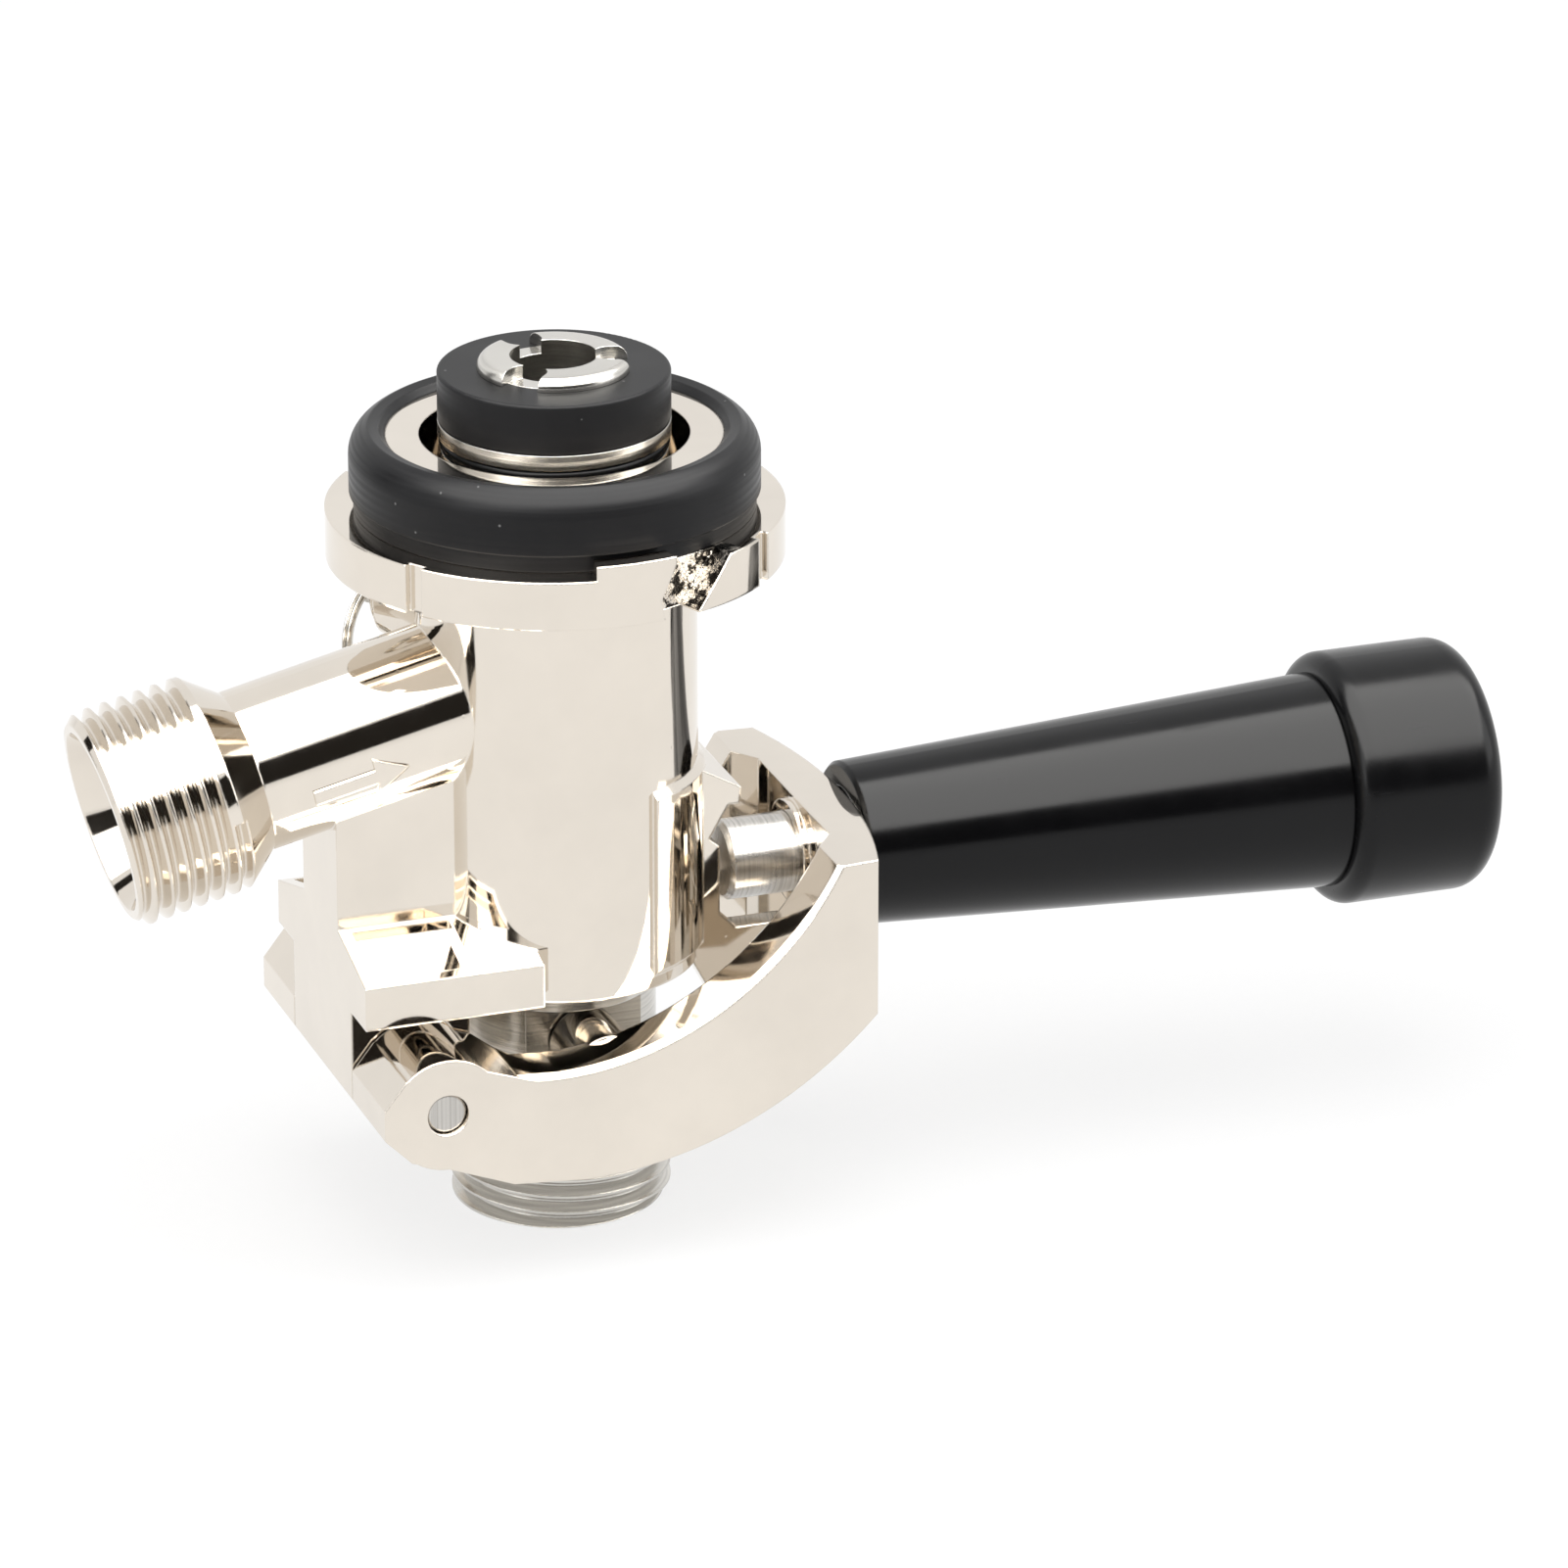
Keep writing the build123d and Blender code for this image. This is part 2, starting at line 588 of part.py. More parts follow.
relief_disc_at = RELIEF_SEAT + RELIEF_SEAL_T + 2 * SEAT_FIT
with BuildPart() as relief_stem:
    with BuildSketch(RELIEF_SECTION):
        with BuildLine():
            Polyline(
                (RELIEF_SEAT + SEAT_FIT, 0),
                (RELIEF_SEAT + SEAT_FIT, RELIEF_STEM_R),
                (relief_disc_at, RELIEF_STEM_R),
                (relief_disc_at, RELIEF_DISC_R),
                (relief_disc_at + RELIEF_DISC_T, RELIEF_DISC_R),
                (relief_disc_at + RELIEF_DISC_T, RELIEF_STEM_R),
                (EYE_AT, RELIEF_STEM_R),
                (EYE_AT, 0),
                close=True,
            )
        make_face()
    revolve(axis=RELIEF_AXIS)
    eye_plane = Plane(RELIEF_ORIGIN + RELIEF_DIR * EYE_AT, x_dir=RELIEF_DIR, z_dir=RELIEF_SIDE)
    with BuildSketch(eye_plane):
        Circle(EYE_R)
    extrude(amount=EYE_T / 2, both=True)
    with BuildSketch(eye_plane):
        Circle(EYE_HOLE_R)
    extrude(amount=EYE_T, both=True, mode=Mode.SUBTRACT)
relief_stem.part.label = "relief_stem"
export_step(relief_stem.part, "parts/relief_stem.step")

with BuildPart() as relief_seal:
    with BuildSketch(Plane(RELIEF_ORIGIN + RELIEF_DIR * (RELIEF_SEAT + SEAT_FIT), z_dir=RELIEF_DIR)):
        Circle(RELIEF_DISC_R)
        Circle(RELIEF_STEM_R + SEAT_FIT, mode=Mode.SUBTRACT)
    extrude(amount=RELIEF_SEAL_T)
relief_seal.part.label = "relief_seal"
export_step(relief_seal.part, "parts/relief_seal.step")

with BuildPart() as relief_spring:
    spring_from = relief_disc_at + RELIEF_DISC_T + RELIEF_WIRE_R + 0.03
    spring_to = RELIEF_BOSS_END - RELIEF_PLUG_L - RELIEF_WIRE_R - 0.03
    with BuildLine() as coil:
        Helix(
            pitch=(spring_to - spring_from) / 2.5,
            height=spring_to - spring_from,
            radius=(RELIEF_STEM_R + RELIEF_BORE_R) / 2,
            center=RELIEF_ORIGIN + RELIEF_DIR * spring_from,
            direction=RELIEF_DIR,
        )
    with BuildSketch(Plane(coil.line @ 0, z_dir=coil.line % 0)):
        Circle(RELIEF_WIRE_R)
    sweep(is_frenet=True)
relief_spring.part.label = "relief_spring"
export_step(relief_spring.part, "parts/relief_spring.step")

with BuildPart() as pull_ring:
    ring_centre = RELIEF_ORIGIN + RELIEF_DIR * EYE_AT - Vector(0, 0, RING_R)
    ring_across = Plane(ring_centre, x_dir=RELIEF_SIDE, z_dir=(0, 0, 1))
    with BuildSketch(ring_across):
        with Locations((RING_R, 0)):
            Circle(RING_WIRE_R)
    revolve(axis=Axis(ring_centre, RELIEF_DIR))
pull_ring.part.label = "pull_ring"
export_step(pull_ring.part, "parts/pull_ring.step")


# ================================================================ probe
with BuildPart() as probe:
    with BuildSketch(Plane.XZ):
        with BuildLine():
            Polyline(
                (BALL_CHAMBER_R, 0),
                (THREAD_R, 0),
                (THREAD_R, OUTLET_THREAD_L),
                (PROBE_R, OUTLET_THREAD_L + 0.8),
                (PROBE_R, PISTON_BOTTOM - 1),
                (BORE_R - RUN_FIT, PISTON_BOTTOM),
                (BORE_R - RUN_FIT, PISTON_GROOVE_Z),
                (PISTON_GROOVE_R, PISTON_GROOVE_Z),
                (PISTON_GROOVE_R, PISTON_GROOVE_Z + PISTON_GROOVE_H),
                (BORE_R - RUN_FIT, PISTON_GROOVE_Z + PISTON_GROOVE_H),
                (BORE_R - RUN_FIT, PISTON_TOP),
                (STEM_R, PISTON_TOP + 2),
                (STEM_R, LOWER_COLLAR_TOP - LOWER_COLLAR_T - 2),
                (LOWER_COLLAR_R, LOWER_COLLAR_TOP - LOWER_COLLAR_T),
                (LOWER_COLLAR_R, LOWER_COLLAR_TOP),
                (COLLAR_GROOVE_R, LOWER_COLLAR_TOP),
                (COLLAR_GROOVE_R, COLLAR_BOTTOM),
                (SEAL_R, COLLAR_BOTTOM),
                (SEAL_R, COLLAR_BOTTOM + COLLAR_T),
                (SEAL_BORE_R, COLLAR_BOTTOM + COLLAR_T),
                (SEAL_BORE_R, SEAL_TOP),
                (TIP_R, SEAL_TOP),
                (TIP_R, PROBE_TOP),
                (BEER_BORE_R, PROBE_TOP),
                (BEER_BORE_R, BALL_SEAT_Z),
                (BALL_CHAMBER_R, BALL_SEAT_Z),
                close=True,
            )
        make_face()
    revolve(axis=Axis.Z)
    # flats that the yoke's pegs lift the probe by
    for side in (-1, 1):
        with BuildSketch(Plane.YZ):
            with Locations((side * (PROBE_FLAT + PROBE_R), HINGE_Z)):
                Rectangle(2 * PROBE_R, 2 * (PEG_R + PEG_PLAY))
        extrude(amount=2 * PROBE_R, both=True, mode=Mode.SUBTRACT)
    # three slots that let the keg's gas and beer pass the tip
    with BuildSketch(Plane.XY.offset(SEAL_TOP)):
        with PolarLocations(TIP_R, 3, start_angle=-15):
            SlotOverall(2 * TIP_SLOT_W, TIP_SLOT_W)
    extrude(amount=PROBE_TOP - SEAL_TOP + 1, mode=Mode.SUBTRACT)
probe.part.label = "probe"
export_step(probe.part, "parts/probe.step")

with BuildPart() as probe_seal:
    with BuildSketch(Plane.XZ):
        with Locations(((SEAL_BORE_R + SEAL_R) / 2 + SEAT_FIT / 2, SEAL_TOP - SEAL_H / 2)):
            Rectangle(SEAL_R - SEAL_BORE_R - SEAT_FIT, SEAL_H - 2 * SEAT_FIT)
    revolve(axis=Axis.Z)
    fillet(probe_seal.edges().filter_by(GeomType.CIRCLE).sort_by(SortBy.RADIUS)[-2:], 0.3)
probe_seal.part.label = "probe_seal"
export_step(probe_seal.part, "parts/probe_seal.step")

with BuildPart() as upper_o_ring:
    with BuildSketch(Plane.XZ):
        with Locations((COLLAR_GROOVE_R + COLLAR_GAP / 2, COLLAR_BOTTOM - COLLAR_GAP / 2)):
            Circle(COLLAR_GAP / 2 - SEAT_FIT)
    revolve(axis=Axis.Z)
upper_o_ring.part.label = "upper_o_ring"
export_step(upper_o_ring.part, "parts/upper_o_ring.step")

with BuildPart() as piston_o_ring:
    ring_section_r = (BORE_R - RUN_FIT - PISTON_GROOVE_R) / 2
    with BuildSketch(Plane.XZ):
        with Locations((PISTON_GROOVE_R + ring_section_r, PISTON_GROOVE_Z + PISTON_GROOVE_H / 2)):
            Circle(ring_section_r - SEAT_FIT)
    revolve(axis=Axis.Z)
piston_o_ring.part.label = "piston_o_ring"
export_step(piston_o_ring.part, "parts/piston_o_ring.step")

with BuildPart() as ball_retainer:
    with BuildSketch(Plane.XY.offset(RETAINER_Z)):
        Circle(BALL_CHAMBER_R - SEAT_FIT)
        Circle(RETAINER_BORE_R, mode=Mode.SUBTRACT)
        with PolarLocations(RETAINER_BORE_R, 4):
            Circle(1.5, mode=Mode.SUBTRACT)
    extrude(amount=RETAINER_T)
ball_retainer.part.label = "ball_retainer"
export_step(ball_retainer.part, "parts/ball_retainer.step")

with BuildPart() as check_ball:
    with Locations((0, 0, BALL_REST_Z)):
        Sphere(BALL_R)
check_ball.part.label = "check_ball"
export_step(check_ball.part, "parts/check_ball.step")


# ================================================================ yoke
hub_inner = LUG_HALF_WIDTH + HUB_GAP
with BuildPart() as yoke:
    # the arms and the bowed end wall seen from above
    with BuildSketch(Plane.XY):
        with BuildLine():
            for side in (-1, 1):
                ThreePointArc(
                    (HEEL_X, side * HUB_HALF_WIDTH),
                    ((HEEL_X + END_CORNER_X) / 2, side * (HUB_HALF_WIDTH - 0.2)),
                    (END_CORNER_X, side * ARM_END_OUTER),
                )
                Polyline(
                    (HEEL_X, side * HUB_HALF_WIDTH),
                    (HEEL_X, side * hub_inner),
                    (HINGE_X + HUB_R, side * hub_inner),
                    (HINGE_X + HUB_R + 2.5, side * ARM_INNER),
                    (PEG_R, side * ARM_INNER),
                    (YOKE_TOP_X, side * ARM_END_INNER),
                    (END_INNER_X, side * END_INNER_HALF),
                )
            Line((END_INNER_X, -END_INNER_HALF), (END_INNER_X, END_INNER_HALF))
            ThreePointArc(
                (END_CORNER_X, -ARM_END_OUTER), (END_BULGE_X, 0), (END_CORNER_X, ARM_END_OUTER)
            )
        make_face()
    extrude(amount=YOKE_TOP + 5)
    # the side outline: hubs, rising arms and upright end
    with BuildSketch(Plane.XZ):
        with Locations((HINGE_X, HINGE_Z)):
            Circle(HUB_R)
        with BuildLine():
            Polyline(*HEEL, close=True)
        make_face()
        with BuildLine():
            TangentArc((-7.0, ARM_TOP_LOW), (YOKE_TOP_X, YOKE_TOP), tangent=(1, 0))
            Polyline(
                (YOKE_TOP_X, YOKE_TOP),
                (END_BULGE_X + 1, YOKE_TOP),
                (END_BULGE_X + 1, END_CORNER_Z + 1.0),
                (END_CORNER_X, END_CORNER_Z),
            )
            TangentArc((-4.0, ARM_BOTTOM_LOW), (END_CORNER_X, END_CORNER_Z), tangent=(1, 0))
            Polyline(
                (-4.0, ARM_BOTTOM_LOW),
                (-12.0, ARM_BOTTOM_LOW + 0.7),
                (HINGE_X, HINGE_Z - HUB_R),
                (HINGE_X, HINGE_Z + HUB_R),
                (-15.0, ARM_TOP_LOW + 1.5),
                (-11.5, ARM_TOP_LOW + 0.3),
                (-7.0, ARM_TOP_LOW),
            )
        make_face()
    extrude(amount=HUB_HALF_WIDTH + 5, both=True, mode=Mode.INTERSECT)
    arm_tops = yoke.edges().filter_by(
        lambda e: abs(e.center().Y) > ARM_END_OUTER - 0.4 and e.center().Z > ARM_TOP_LOW and e.length > 20
    )
    chamfer(arm_tops, ARM_BEVEL)
    # pegs that lift the probe
    for side in (-1, 1):
        with BuildSketch(Plane.XZ.offset(-side * (PROBE_FLAT + PASS_GAP))):
            with Locations((0, HINGE_Z)):
                Circle(PEG_R)
        extrude(amount=-side * (ARM_INNER - PROBE_FLAT + 0.5))
    # boss round the lock pin, its hole, and the seat of the guide tube
    with BuildSketch(Plane(HANDLE_ORIGIN + Vector(END_INNER_X - BOSS_T, 0, 0), z_dir=(1, 0, 0))):
        Circle(BOSS_R)
    extrude(amount=2 * BOSS_T)
    with BuildSketch(Plane(HANDLE_ORIGIN + Vector(END_INNER_X - BOSS_T, 0, 0), z_dir=(1, 0, 0))):
        Circle(GUIDE_BORE_R)
    extrude(amount=END_BULGE_X - END_INNER_X + 2, mode=Mode.SUBTRACT)
    with BuildSketch(Plane(HANDLE_ORIGIN + Vector(GUIDE_START_X, 0, 0), z_dir=(1, 0, 0))):
        Circle(GUIDE_R + SEAT_FIT)
    extrude(amount=END_BULGE_X - GUIDE_START_X + 1, mode=Mode.SUBTRACT)
    # hinge pin hole with shallow counterbores
    with BuildSketch(Plane.XZ):
        with Locations((HINGE_X, HINGE_Z)):
            Circle(HINGE_PIN_R + RUN_FIT)
    extrude(amount=HUB_HALF_WIDTH + 1, both=True, mode=Mode.SUBTRACT)
yoke.part.label = "yoke"
export_step(yoke.part, "parts/yoke.step")


# ================================================================ lock pin and grip
with BuildPart() as guide_tube:
    with BuildSketch(HANDLE_SECTION):
        with BuildLine():
            Polyline(
                (GUIDE_START_X + SEAT_FIT, GUIDE_BORE_R),
                (GUIDE_START_X + SEAT_FIT, GUIDE_R),
                (GUIDE_END_X, GUIDE_R),
                (GUIDE_END_X, LOCK_ROD_R + RUN_FIT),
                (GUIDE_END_X - GUIDE_END_T, LOCK_ROD_R + RUN_FIT),
                (GUIDE_END_X - GUIDE_END_T, GUIDE_BORE_R),
                close=True,
            )
        make_face()
    revolve(axis=HANDLE_AXIS)
guide_tube.part.label = "guide_tube"
export_step(guide_tube.part, "parts/guide_tube.step")

rod_end_x = NUT_POCKET_X + WASHER_T + NUT_T + 1.2
with BuildPart() as lock_pin:
    with BuildSketch(HANDLE_SECTION):
        with BuildLine():
            Polyline(
                (LOCK_PIN_TIP_X, 0),
                (LOCK_PIN_TIP_X, LOCK_PIN_R - 0.5),
                (LOCK_PIN_TIP_X + 0.5, LOCK_PIN_R),
                (LOCK_PIN_SHOULDER_X, LOCK_PIN_R),
                (LOCK_PIN_SHOULDER_X, LOCK_ROD_R),
                (rod_end_x, LOCK_ROD_R),
                (rod_end_x, 0),
                close=True,
            )
        make_face()
    revolve(axis=HANDLE_AXIS)
lock_pin.part.label = "lock_pin"
export_step(lock_pin.part, "parts/lock_pin.step")

with BuildPart() as lock_spring:
    spring_from = LOCK_PIN_SHOULDER_X + SPRING_WIRE_R + 0.05
    spring_to = GUIDE_END_X - GUIDE_END_T - SPRING_WIRE_R - 0.05
    with BuildLine() as coil:
        Helix(
            pitch=(spring_to - spring_from) / SPRING_TURNS,
            height=spring_to - spring_from,
            radius=(LOCK_ROD_R + GUIDE_BORE_R) / 2,
            center=HANDLE_ORIGIN + Vector(spring_from, 0, 0),
            direction=(1, 0, 0),
        )
    with BuildSketch(Plane(coil.line @ 0, z_dir=coil.line % 0)):
        Circle(SPRING_WIRE_R)
    sweep(is_frenet=True)
lock_spring.part.label = "lock_spring"
export_step(lock_spring.part, "parts/lock_spring.step")

with BuildPart() as grip:
    hollow_end = GUIDE_END_X + GRIP_HOLLOW_PLAY
    hollow_r = GUIDE_R + PASS_GAP
    spigot_end = GRIP_END_X + GRIP_SPIGOT_L
    with BuildSketch(HANDLE_SECTION):
        with BuildLine():
            Polyline(
                (GRIP_START_X, hollow_r),
                (GRIP_START_X, GRIP_R0 - 0.4),
                (GRIP_START_X + 0.4, GRIP_R0),
                (GRIP_END_X, GRIP_R1),
                (GRIP_END_X, GRIP_SPIGOT_R),
                (spigot_end, GRIP_SPIGOT_R),
                (spigot_end, NUT_POCKET_R),
                (NUT_POCKET_X, NUT_POCKET_R),
                (NUT_POCKET_X, LOCK_ROD_R + SEAT_FIT),
                (hollow_end, LOCK_ROD_R + SEAT_FIT),
                (hollow_end, hollow_r),
                close=True,
            )
        make_face()
    revolve(axis=HANDLE_AXIS)
grip.part.label = "grip"
export_step(grip.part, "parts/grip.step")

with BuildPart() as grip_washer:
    with BuildSketch(Plane(HANDLE_ORIGIN + Vector(NUT_POCKET_X + SEAT_FIT, 0, 0), z_dir=(1, 0, 0))):
        Circle(WASHER_R)
        Circle(LOCK_ROD_R + SEAT_FIT, mode=Mode.SUBTRACT)
    extrude(amount=WASHER_T - SEAT_FIT)
grip_washer.part.label = "grip_washer"
export_step(grip_washer.part, "parts/grip_washer.step")

with BuildPart() as grip_nut:
    nut_at = NUT_POCKET_X + WASHER_T + SEAT_FIT
    with BuildSketch(Plane(HANDLE_ORIGIN + Vector(nut_at, 0, 0), z_dir=(1, 0, 0))):
        RegularPolygon(NUT_ACROSS_FLATS / 2, 6, major_radius=False)
        Circle(LOCK_ROD_R + SEAT_FIT, mode=Mode.SUBTRACT)
    extrude(amount=NUT_T - SEAT_FIT)
grip_nut.part.label = "grip_nut"
export_step(grip_nut.part, "parts/grip_nut.step")

with BuildPart() as end_cap:
    with BuildSketch(HANDLE_SECTION):
        with BuildLine():
            Polyline(
                (GRIP_END_X + SEAT_FIT, GRIP_SPIGOT_R + SEAT_FIT),
                (GRIP_END_X + SEAT_FIT, CAP_R),
                (CAP_END_X, CAP_R),
                (CAP_END_X, 0),
                (CAP_END_X - CAP_WALL, 0),
                (CAP_END_X - CAP_WALL, GRIP_SPIGOT_R + SEAT_FIT),
                close=True,
            )
        make_face()
    revolve(axis=HANDLE_AXIS)
    fillet(end_cap.edges().filter_by(GeomType.CIRCLE).group_by(Axis.X)[-1], CAP_ROUND)
    rim = end_cap.edges().filter_by(GeomType.CIRCLE).group_by(Axis.X)[0].sort_by(SortBy.RADIUS)[-1]
    fillet(rim, CAP_RIM_ROUND)
end_cap.part.label = "end_cap"
export_step(end_cap.part, "parts/end_cap.step")
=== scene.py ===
"""Looks of the keg coupler: finishes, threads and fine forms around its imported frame.

Metres, in the frame of the solids. +Z is the main axis to the keg side and +X the grip.
"""

import json
import math

import bmesh
import bpy
from mathutils import Matrix, Vector


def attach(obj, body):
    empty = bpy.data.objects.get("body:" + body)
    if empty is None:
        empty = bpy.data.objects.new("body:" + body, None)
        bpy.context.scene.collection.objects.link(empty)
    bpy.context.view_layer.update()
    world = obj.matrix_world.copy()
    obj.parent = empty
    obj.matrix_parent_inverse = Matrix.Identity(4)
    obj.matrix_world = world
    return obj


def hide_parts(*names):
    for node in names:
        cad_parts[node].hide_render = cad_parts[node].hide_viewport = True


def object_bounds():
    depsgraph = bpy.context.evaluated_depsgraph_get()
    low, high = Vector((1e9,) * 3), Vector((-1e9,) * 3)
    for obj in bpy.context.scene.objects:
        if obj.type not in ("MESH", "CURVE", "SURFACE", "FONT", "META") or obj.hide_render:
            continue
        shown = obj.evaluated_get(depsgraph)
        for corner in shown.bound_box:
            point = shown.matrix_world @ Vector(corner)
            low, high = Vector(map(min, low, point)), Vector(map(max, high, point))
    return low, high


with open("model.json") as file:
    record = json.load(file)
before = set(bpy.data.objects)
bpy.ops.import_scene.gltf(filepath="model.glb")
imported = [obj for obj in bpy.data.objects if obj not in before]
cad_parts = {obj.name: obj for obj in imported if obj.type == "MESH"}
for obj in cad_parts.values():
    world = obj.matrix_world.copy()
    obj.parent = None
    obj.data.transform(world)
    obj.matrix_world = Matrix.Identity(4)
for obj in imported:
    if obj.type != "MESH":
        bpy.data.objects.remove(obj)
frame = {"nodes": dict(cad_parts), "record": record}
cad_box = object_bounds()
nodes = frame["nodes"]

MM = 0.001

# ---------------------------------------------------------------- places shared with the solids
GAS_DROP = math.radians(13.0)
GAS_OUT = Vector((-math.cos(GAS_DROP), 0.0, -math.sin(GAS_DROP)))
GAS_START = Vector((0.0, 0.0, 58.7 * MM))
GAS_REACH = 50.0 * MM
GAS_NECK_R = 8.5 * MM
THREAD_R = 11.45 * MM
THREAD_PITCH = 1.814 * MM
THREAD_DEPTH = 1.16 * MM
GAS_THREAD_L = 12.0 * MM
OUTLET_THREAD_L = 10.0 * MM
RELIEF_TURN = math.radians(132.0)
RELIEF_OUT = Vector((math.cos(RELIEF_TURN), math.sin(RELIEF_TURN), 0.0))
RELIEF_SIDE = Vector((math.sin(RELIEF_TURN), -math.cos(RELIEF_TURN), 0.0))
RELIEF_HEIGHT = 62.9 * MM
EYE_AT = 22.0 * MM
RING_R = 5.0 * MM
PROBE_TOP = 92.0 * MM
TIP_R = 7.85 * MM


# ================================================================ node helpers
# a colour mix node counts its sockets over all its data types
MIX_COLOUR_A = 6
MIX_COLOUR_B = 7
MIX_COLOUR_OUT = 2
WHITE = (1.0, 1.0, 1.0, 1.0)
EDGE_SAMPLES = 6


def cleared(holder, output_kind):
    """Empties the node tree of a material or a world and gives it a new output."""
    holder.use_nodes = True
    tree = holder.node_tree
    tree.nodes.clear()
    return tree, tree.nodes.new(output_kind)


def new_finish(name):
    """A material with its node tree and its Principled shader."""
    finish = bpy.data.materials.new(name)
    tree, output = cleared(finish, "ShaderNodeOutputMaterial")
    shader = tree.nodes.new("ShaderNodeBsdfPrincipled")
    tree.links.new(shader.outputs["BSDF"], output.inputs["Surface"])
    return finish, tree, shader


def add(tree, kind, inputs=None, **settings):
    """Adds a node with its settings, and sets or links its inputs by name or by number."""
    node = tree.nodes.new(kind)
    for key, value in settings.items():
        setattr(node, key, value)
    for key, value in (inputs or {}).items():
        if isinstance(value, bpy.types.NodeSocket):
            tree.links.new(value, node.inputs[key])
        else:
            node.inputs[key].default_value = value
    return node


def maths(tree, operation, first, second):
    """One sum, product or comparison of two values."""
    return add(tree, "ShaderNodeMath", {0: first, 1: second}, operation=operation).outputs[0]


def spread(tree, value, low, high, to_low=0.0, to_high=1.0):
    """Maps a value from one range to another, held inside it."""
    node = add(
        tree,
        "ShaderNodeMapRange",
        {"Value": value, "From Min": low, "From Max": high, "To Min": to_low, "To Max": to_high},
    )
    return node.outputs["Result"]


def mixed_colour(tree, factor, first, second):
    """A colour between two, each a socket or a colour with its alpha."""
    mix = {"Factor": factor, MIX_COLOUR_A: first, MIX_COLOUR_B: second}
    return add(tree, "ShaderNodeMix", mix, data_type="RGBA").outputs[MIX_COLOUR_OUT]


def two_tones(tree, factor, dark, light):
    """A colour between two tones."""
    return mixed_colour(tree, factor, (*dark, 1.0), (*light, 1.0))


def shaded(tone, share):
    """A tone with this share of its light."""
    return tuple(channel * share for channel in tone)


def object_place(tree):
    """The place on the piece in its own metres, so that a pattern rides with it."""
    return add(tree, "ShaderNodeTexCoord").outputs["Object"]


def grain(tree, place, scale, detail=3.0, roughness=0.5):
    """A noise pattern over the piece."""
    node = add(
        tree,
        "ShaderNodeTexNoise",
        {"Vector": place, "Scale": scale, "Detail": detail, "Roughness": roughness},
    )
    return node.outputs["Fac"]


def rings_round(tree, place, axis, per_metre):
    """Turning marks: fine bands across an axis, broken up a little."""
    split = add(tree, "ShaderNodeSeparateXYZ", {"Vector": place})
    slow = grain(tree, place, scale=90.0, detail=2.0)
    along = maths(tree, "MULTIPLY", split.outputs[axis], per_metre)
    stretched = add(tree, "ShaderNodeCombineXYZ", {"X": along, "Y": slow})
    lines = add(
        tree,
        "ShaderNodeTexNoise",
        {"Vector": stretched.outputs[0], "Scale": 1.0, "Detail": 2.0},
        noise_dimensions="2D",
    )
    return lines.outputs["Fac"]


def lift(tree, shader, height, strength, distance, edge):
    """Gives the shader a bumped normal over edges softened to this radius."""
    bump = add(
        tree, "ShaderNodeBump", {"Height": height, "Strength": strength, "Distance": distance}
    )
    soft = add(tree, "ShaderNodeBevel", {"Radius": edge}, samples=EDGE_SAMPLES)
    tree.links.new(soft.outputs["Normal"], bump.inputs["Normal"])
    tree.links.new(bump.outputs["Normal"], shader.inputs["Normal"])


# ================================================================ finishes
CAST_SKIN = (0.02, 0.018, 0.015, 1.0)
CAST_SKIN_RELIEF = 45.0  # the rough floor's bumps against the plate's
DUST = (0.12, 0.12, 0.12, 1.0)
SCRATCH_ROUGHNESS = 0.08  # what a scratch adds to the roughness


def nickel_plate(name, tone, roughness, edge, rough_spot=None):
    """Bright nickel over a polished die casting: soft waviness, faint stains and pin holes.

    A rough spot, if one is given, has the dark blotches of an unpolished floor.
    """
    finish, tree, shader = new_finish(name)
    place = object_place(tree)
    stains = spread(tree, grain(tree, place, scale=55.0, detail=4.0, roughness=0.6), 0.35, 0.7)
    colour = two_tones(tree, stains, shaded(tone, 0.93), tone)
    wave = grain(tree, place, scale=130.0, detail=2.0)
    pits = add(tree, "ShaderNodeTexVoronoi", {"Vector": place, "Scale": 260.0}, feature="F1")
    holes = spread(tree, pits.outputs["Distance"], 0.0, 0.07)
    height = maths(tree, "ADD", wave, holes)
    if rough_spot:
        share = spot_share(tree, place, rough_spot)
        cloud = grain(tree, place, scale=700.0, detail=4.0, roughness=0.7)
        blotches = maths(tree, "MULTIPLY", share, spread(tree, cloud, 0.47, 0.53))
        colour = mixed_colour(tree, blotches, colour, CAST_SKIN)
        coarse = grain(tree, place, scale=900.0, detail=4.0, roughness=0.7)
        skin = maths(tree, "MULTIPLY", share, coarse)
        height = maths(tree, "ADD", height, maths(tree, "MULTIPLY", skin, CAST_SKIN_RELIEF))
    tree.links.new(colour, shader.inputs["Base Color"])
    mottle = grain(tree, place, scale=420.0)
    haze = spread(tree, mottle, 0.3, 0.75, roughness * 0.7, roughness * 1.5)
    tree.links.new(haze, shader.inputs["Roughness"])
    shader.inputs["Metallic"].default_value = 1.0
    lift(tree, shader, height, strength=0.25, distance=0.04 * MM, edge=edge)
    return finish


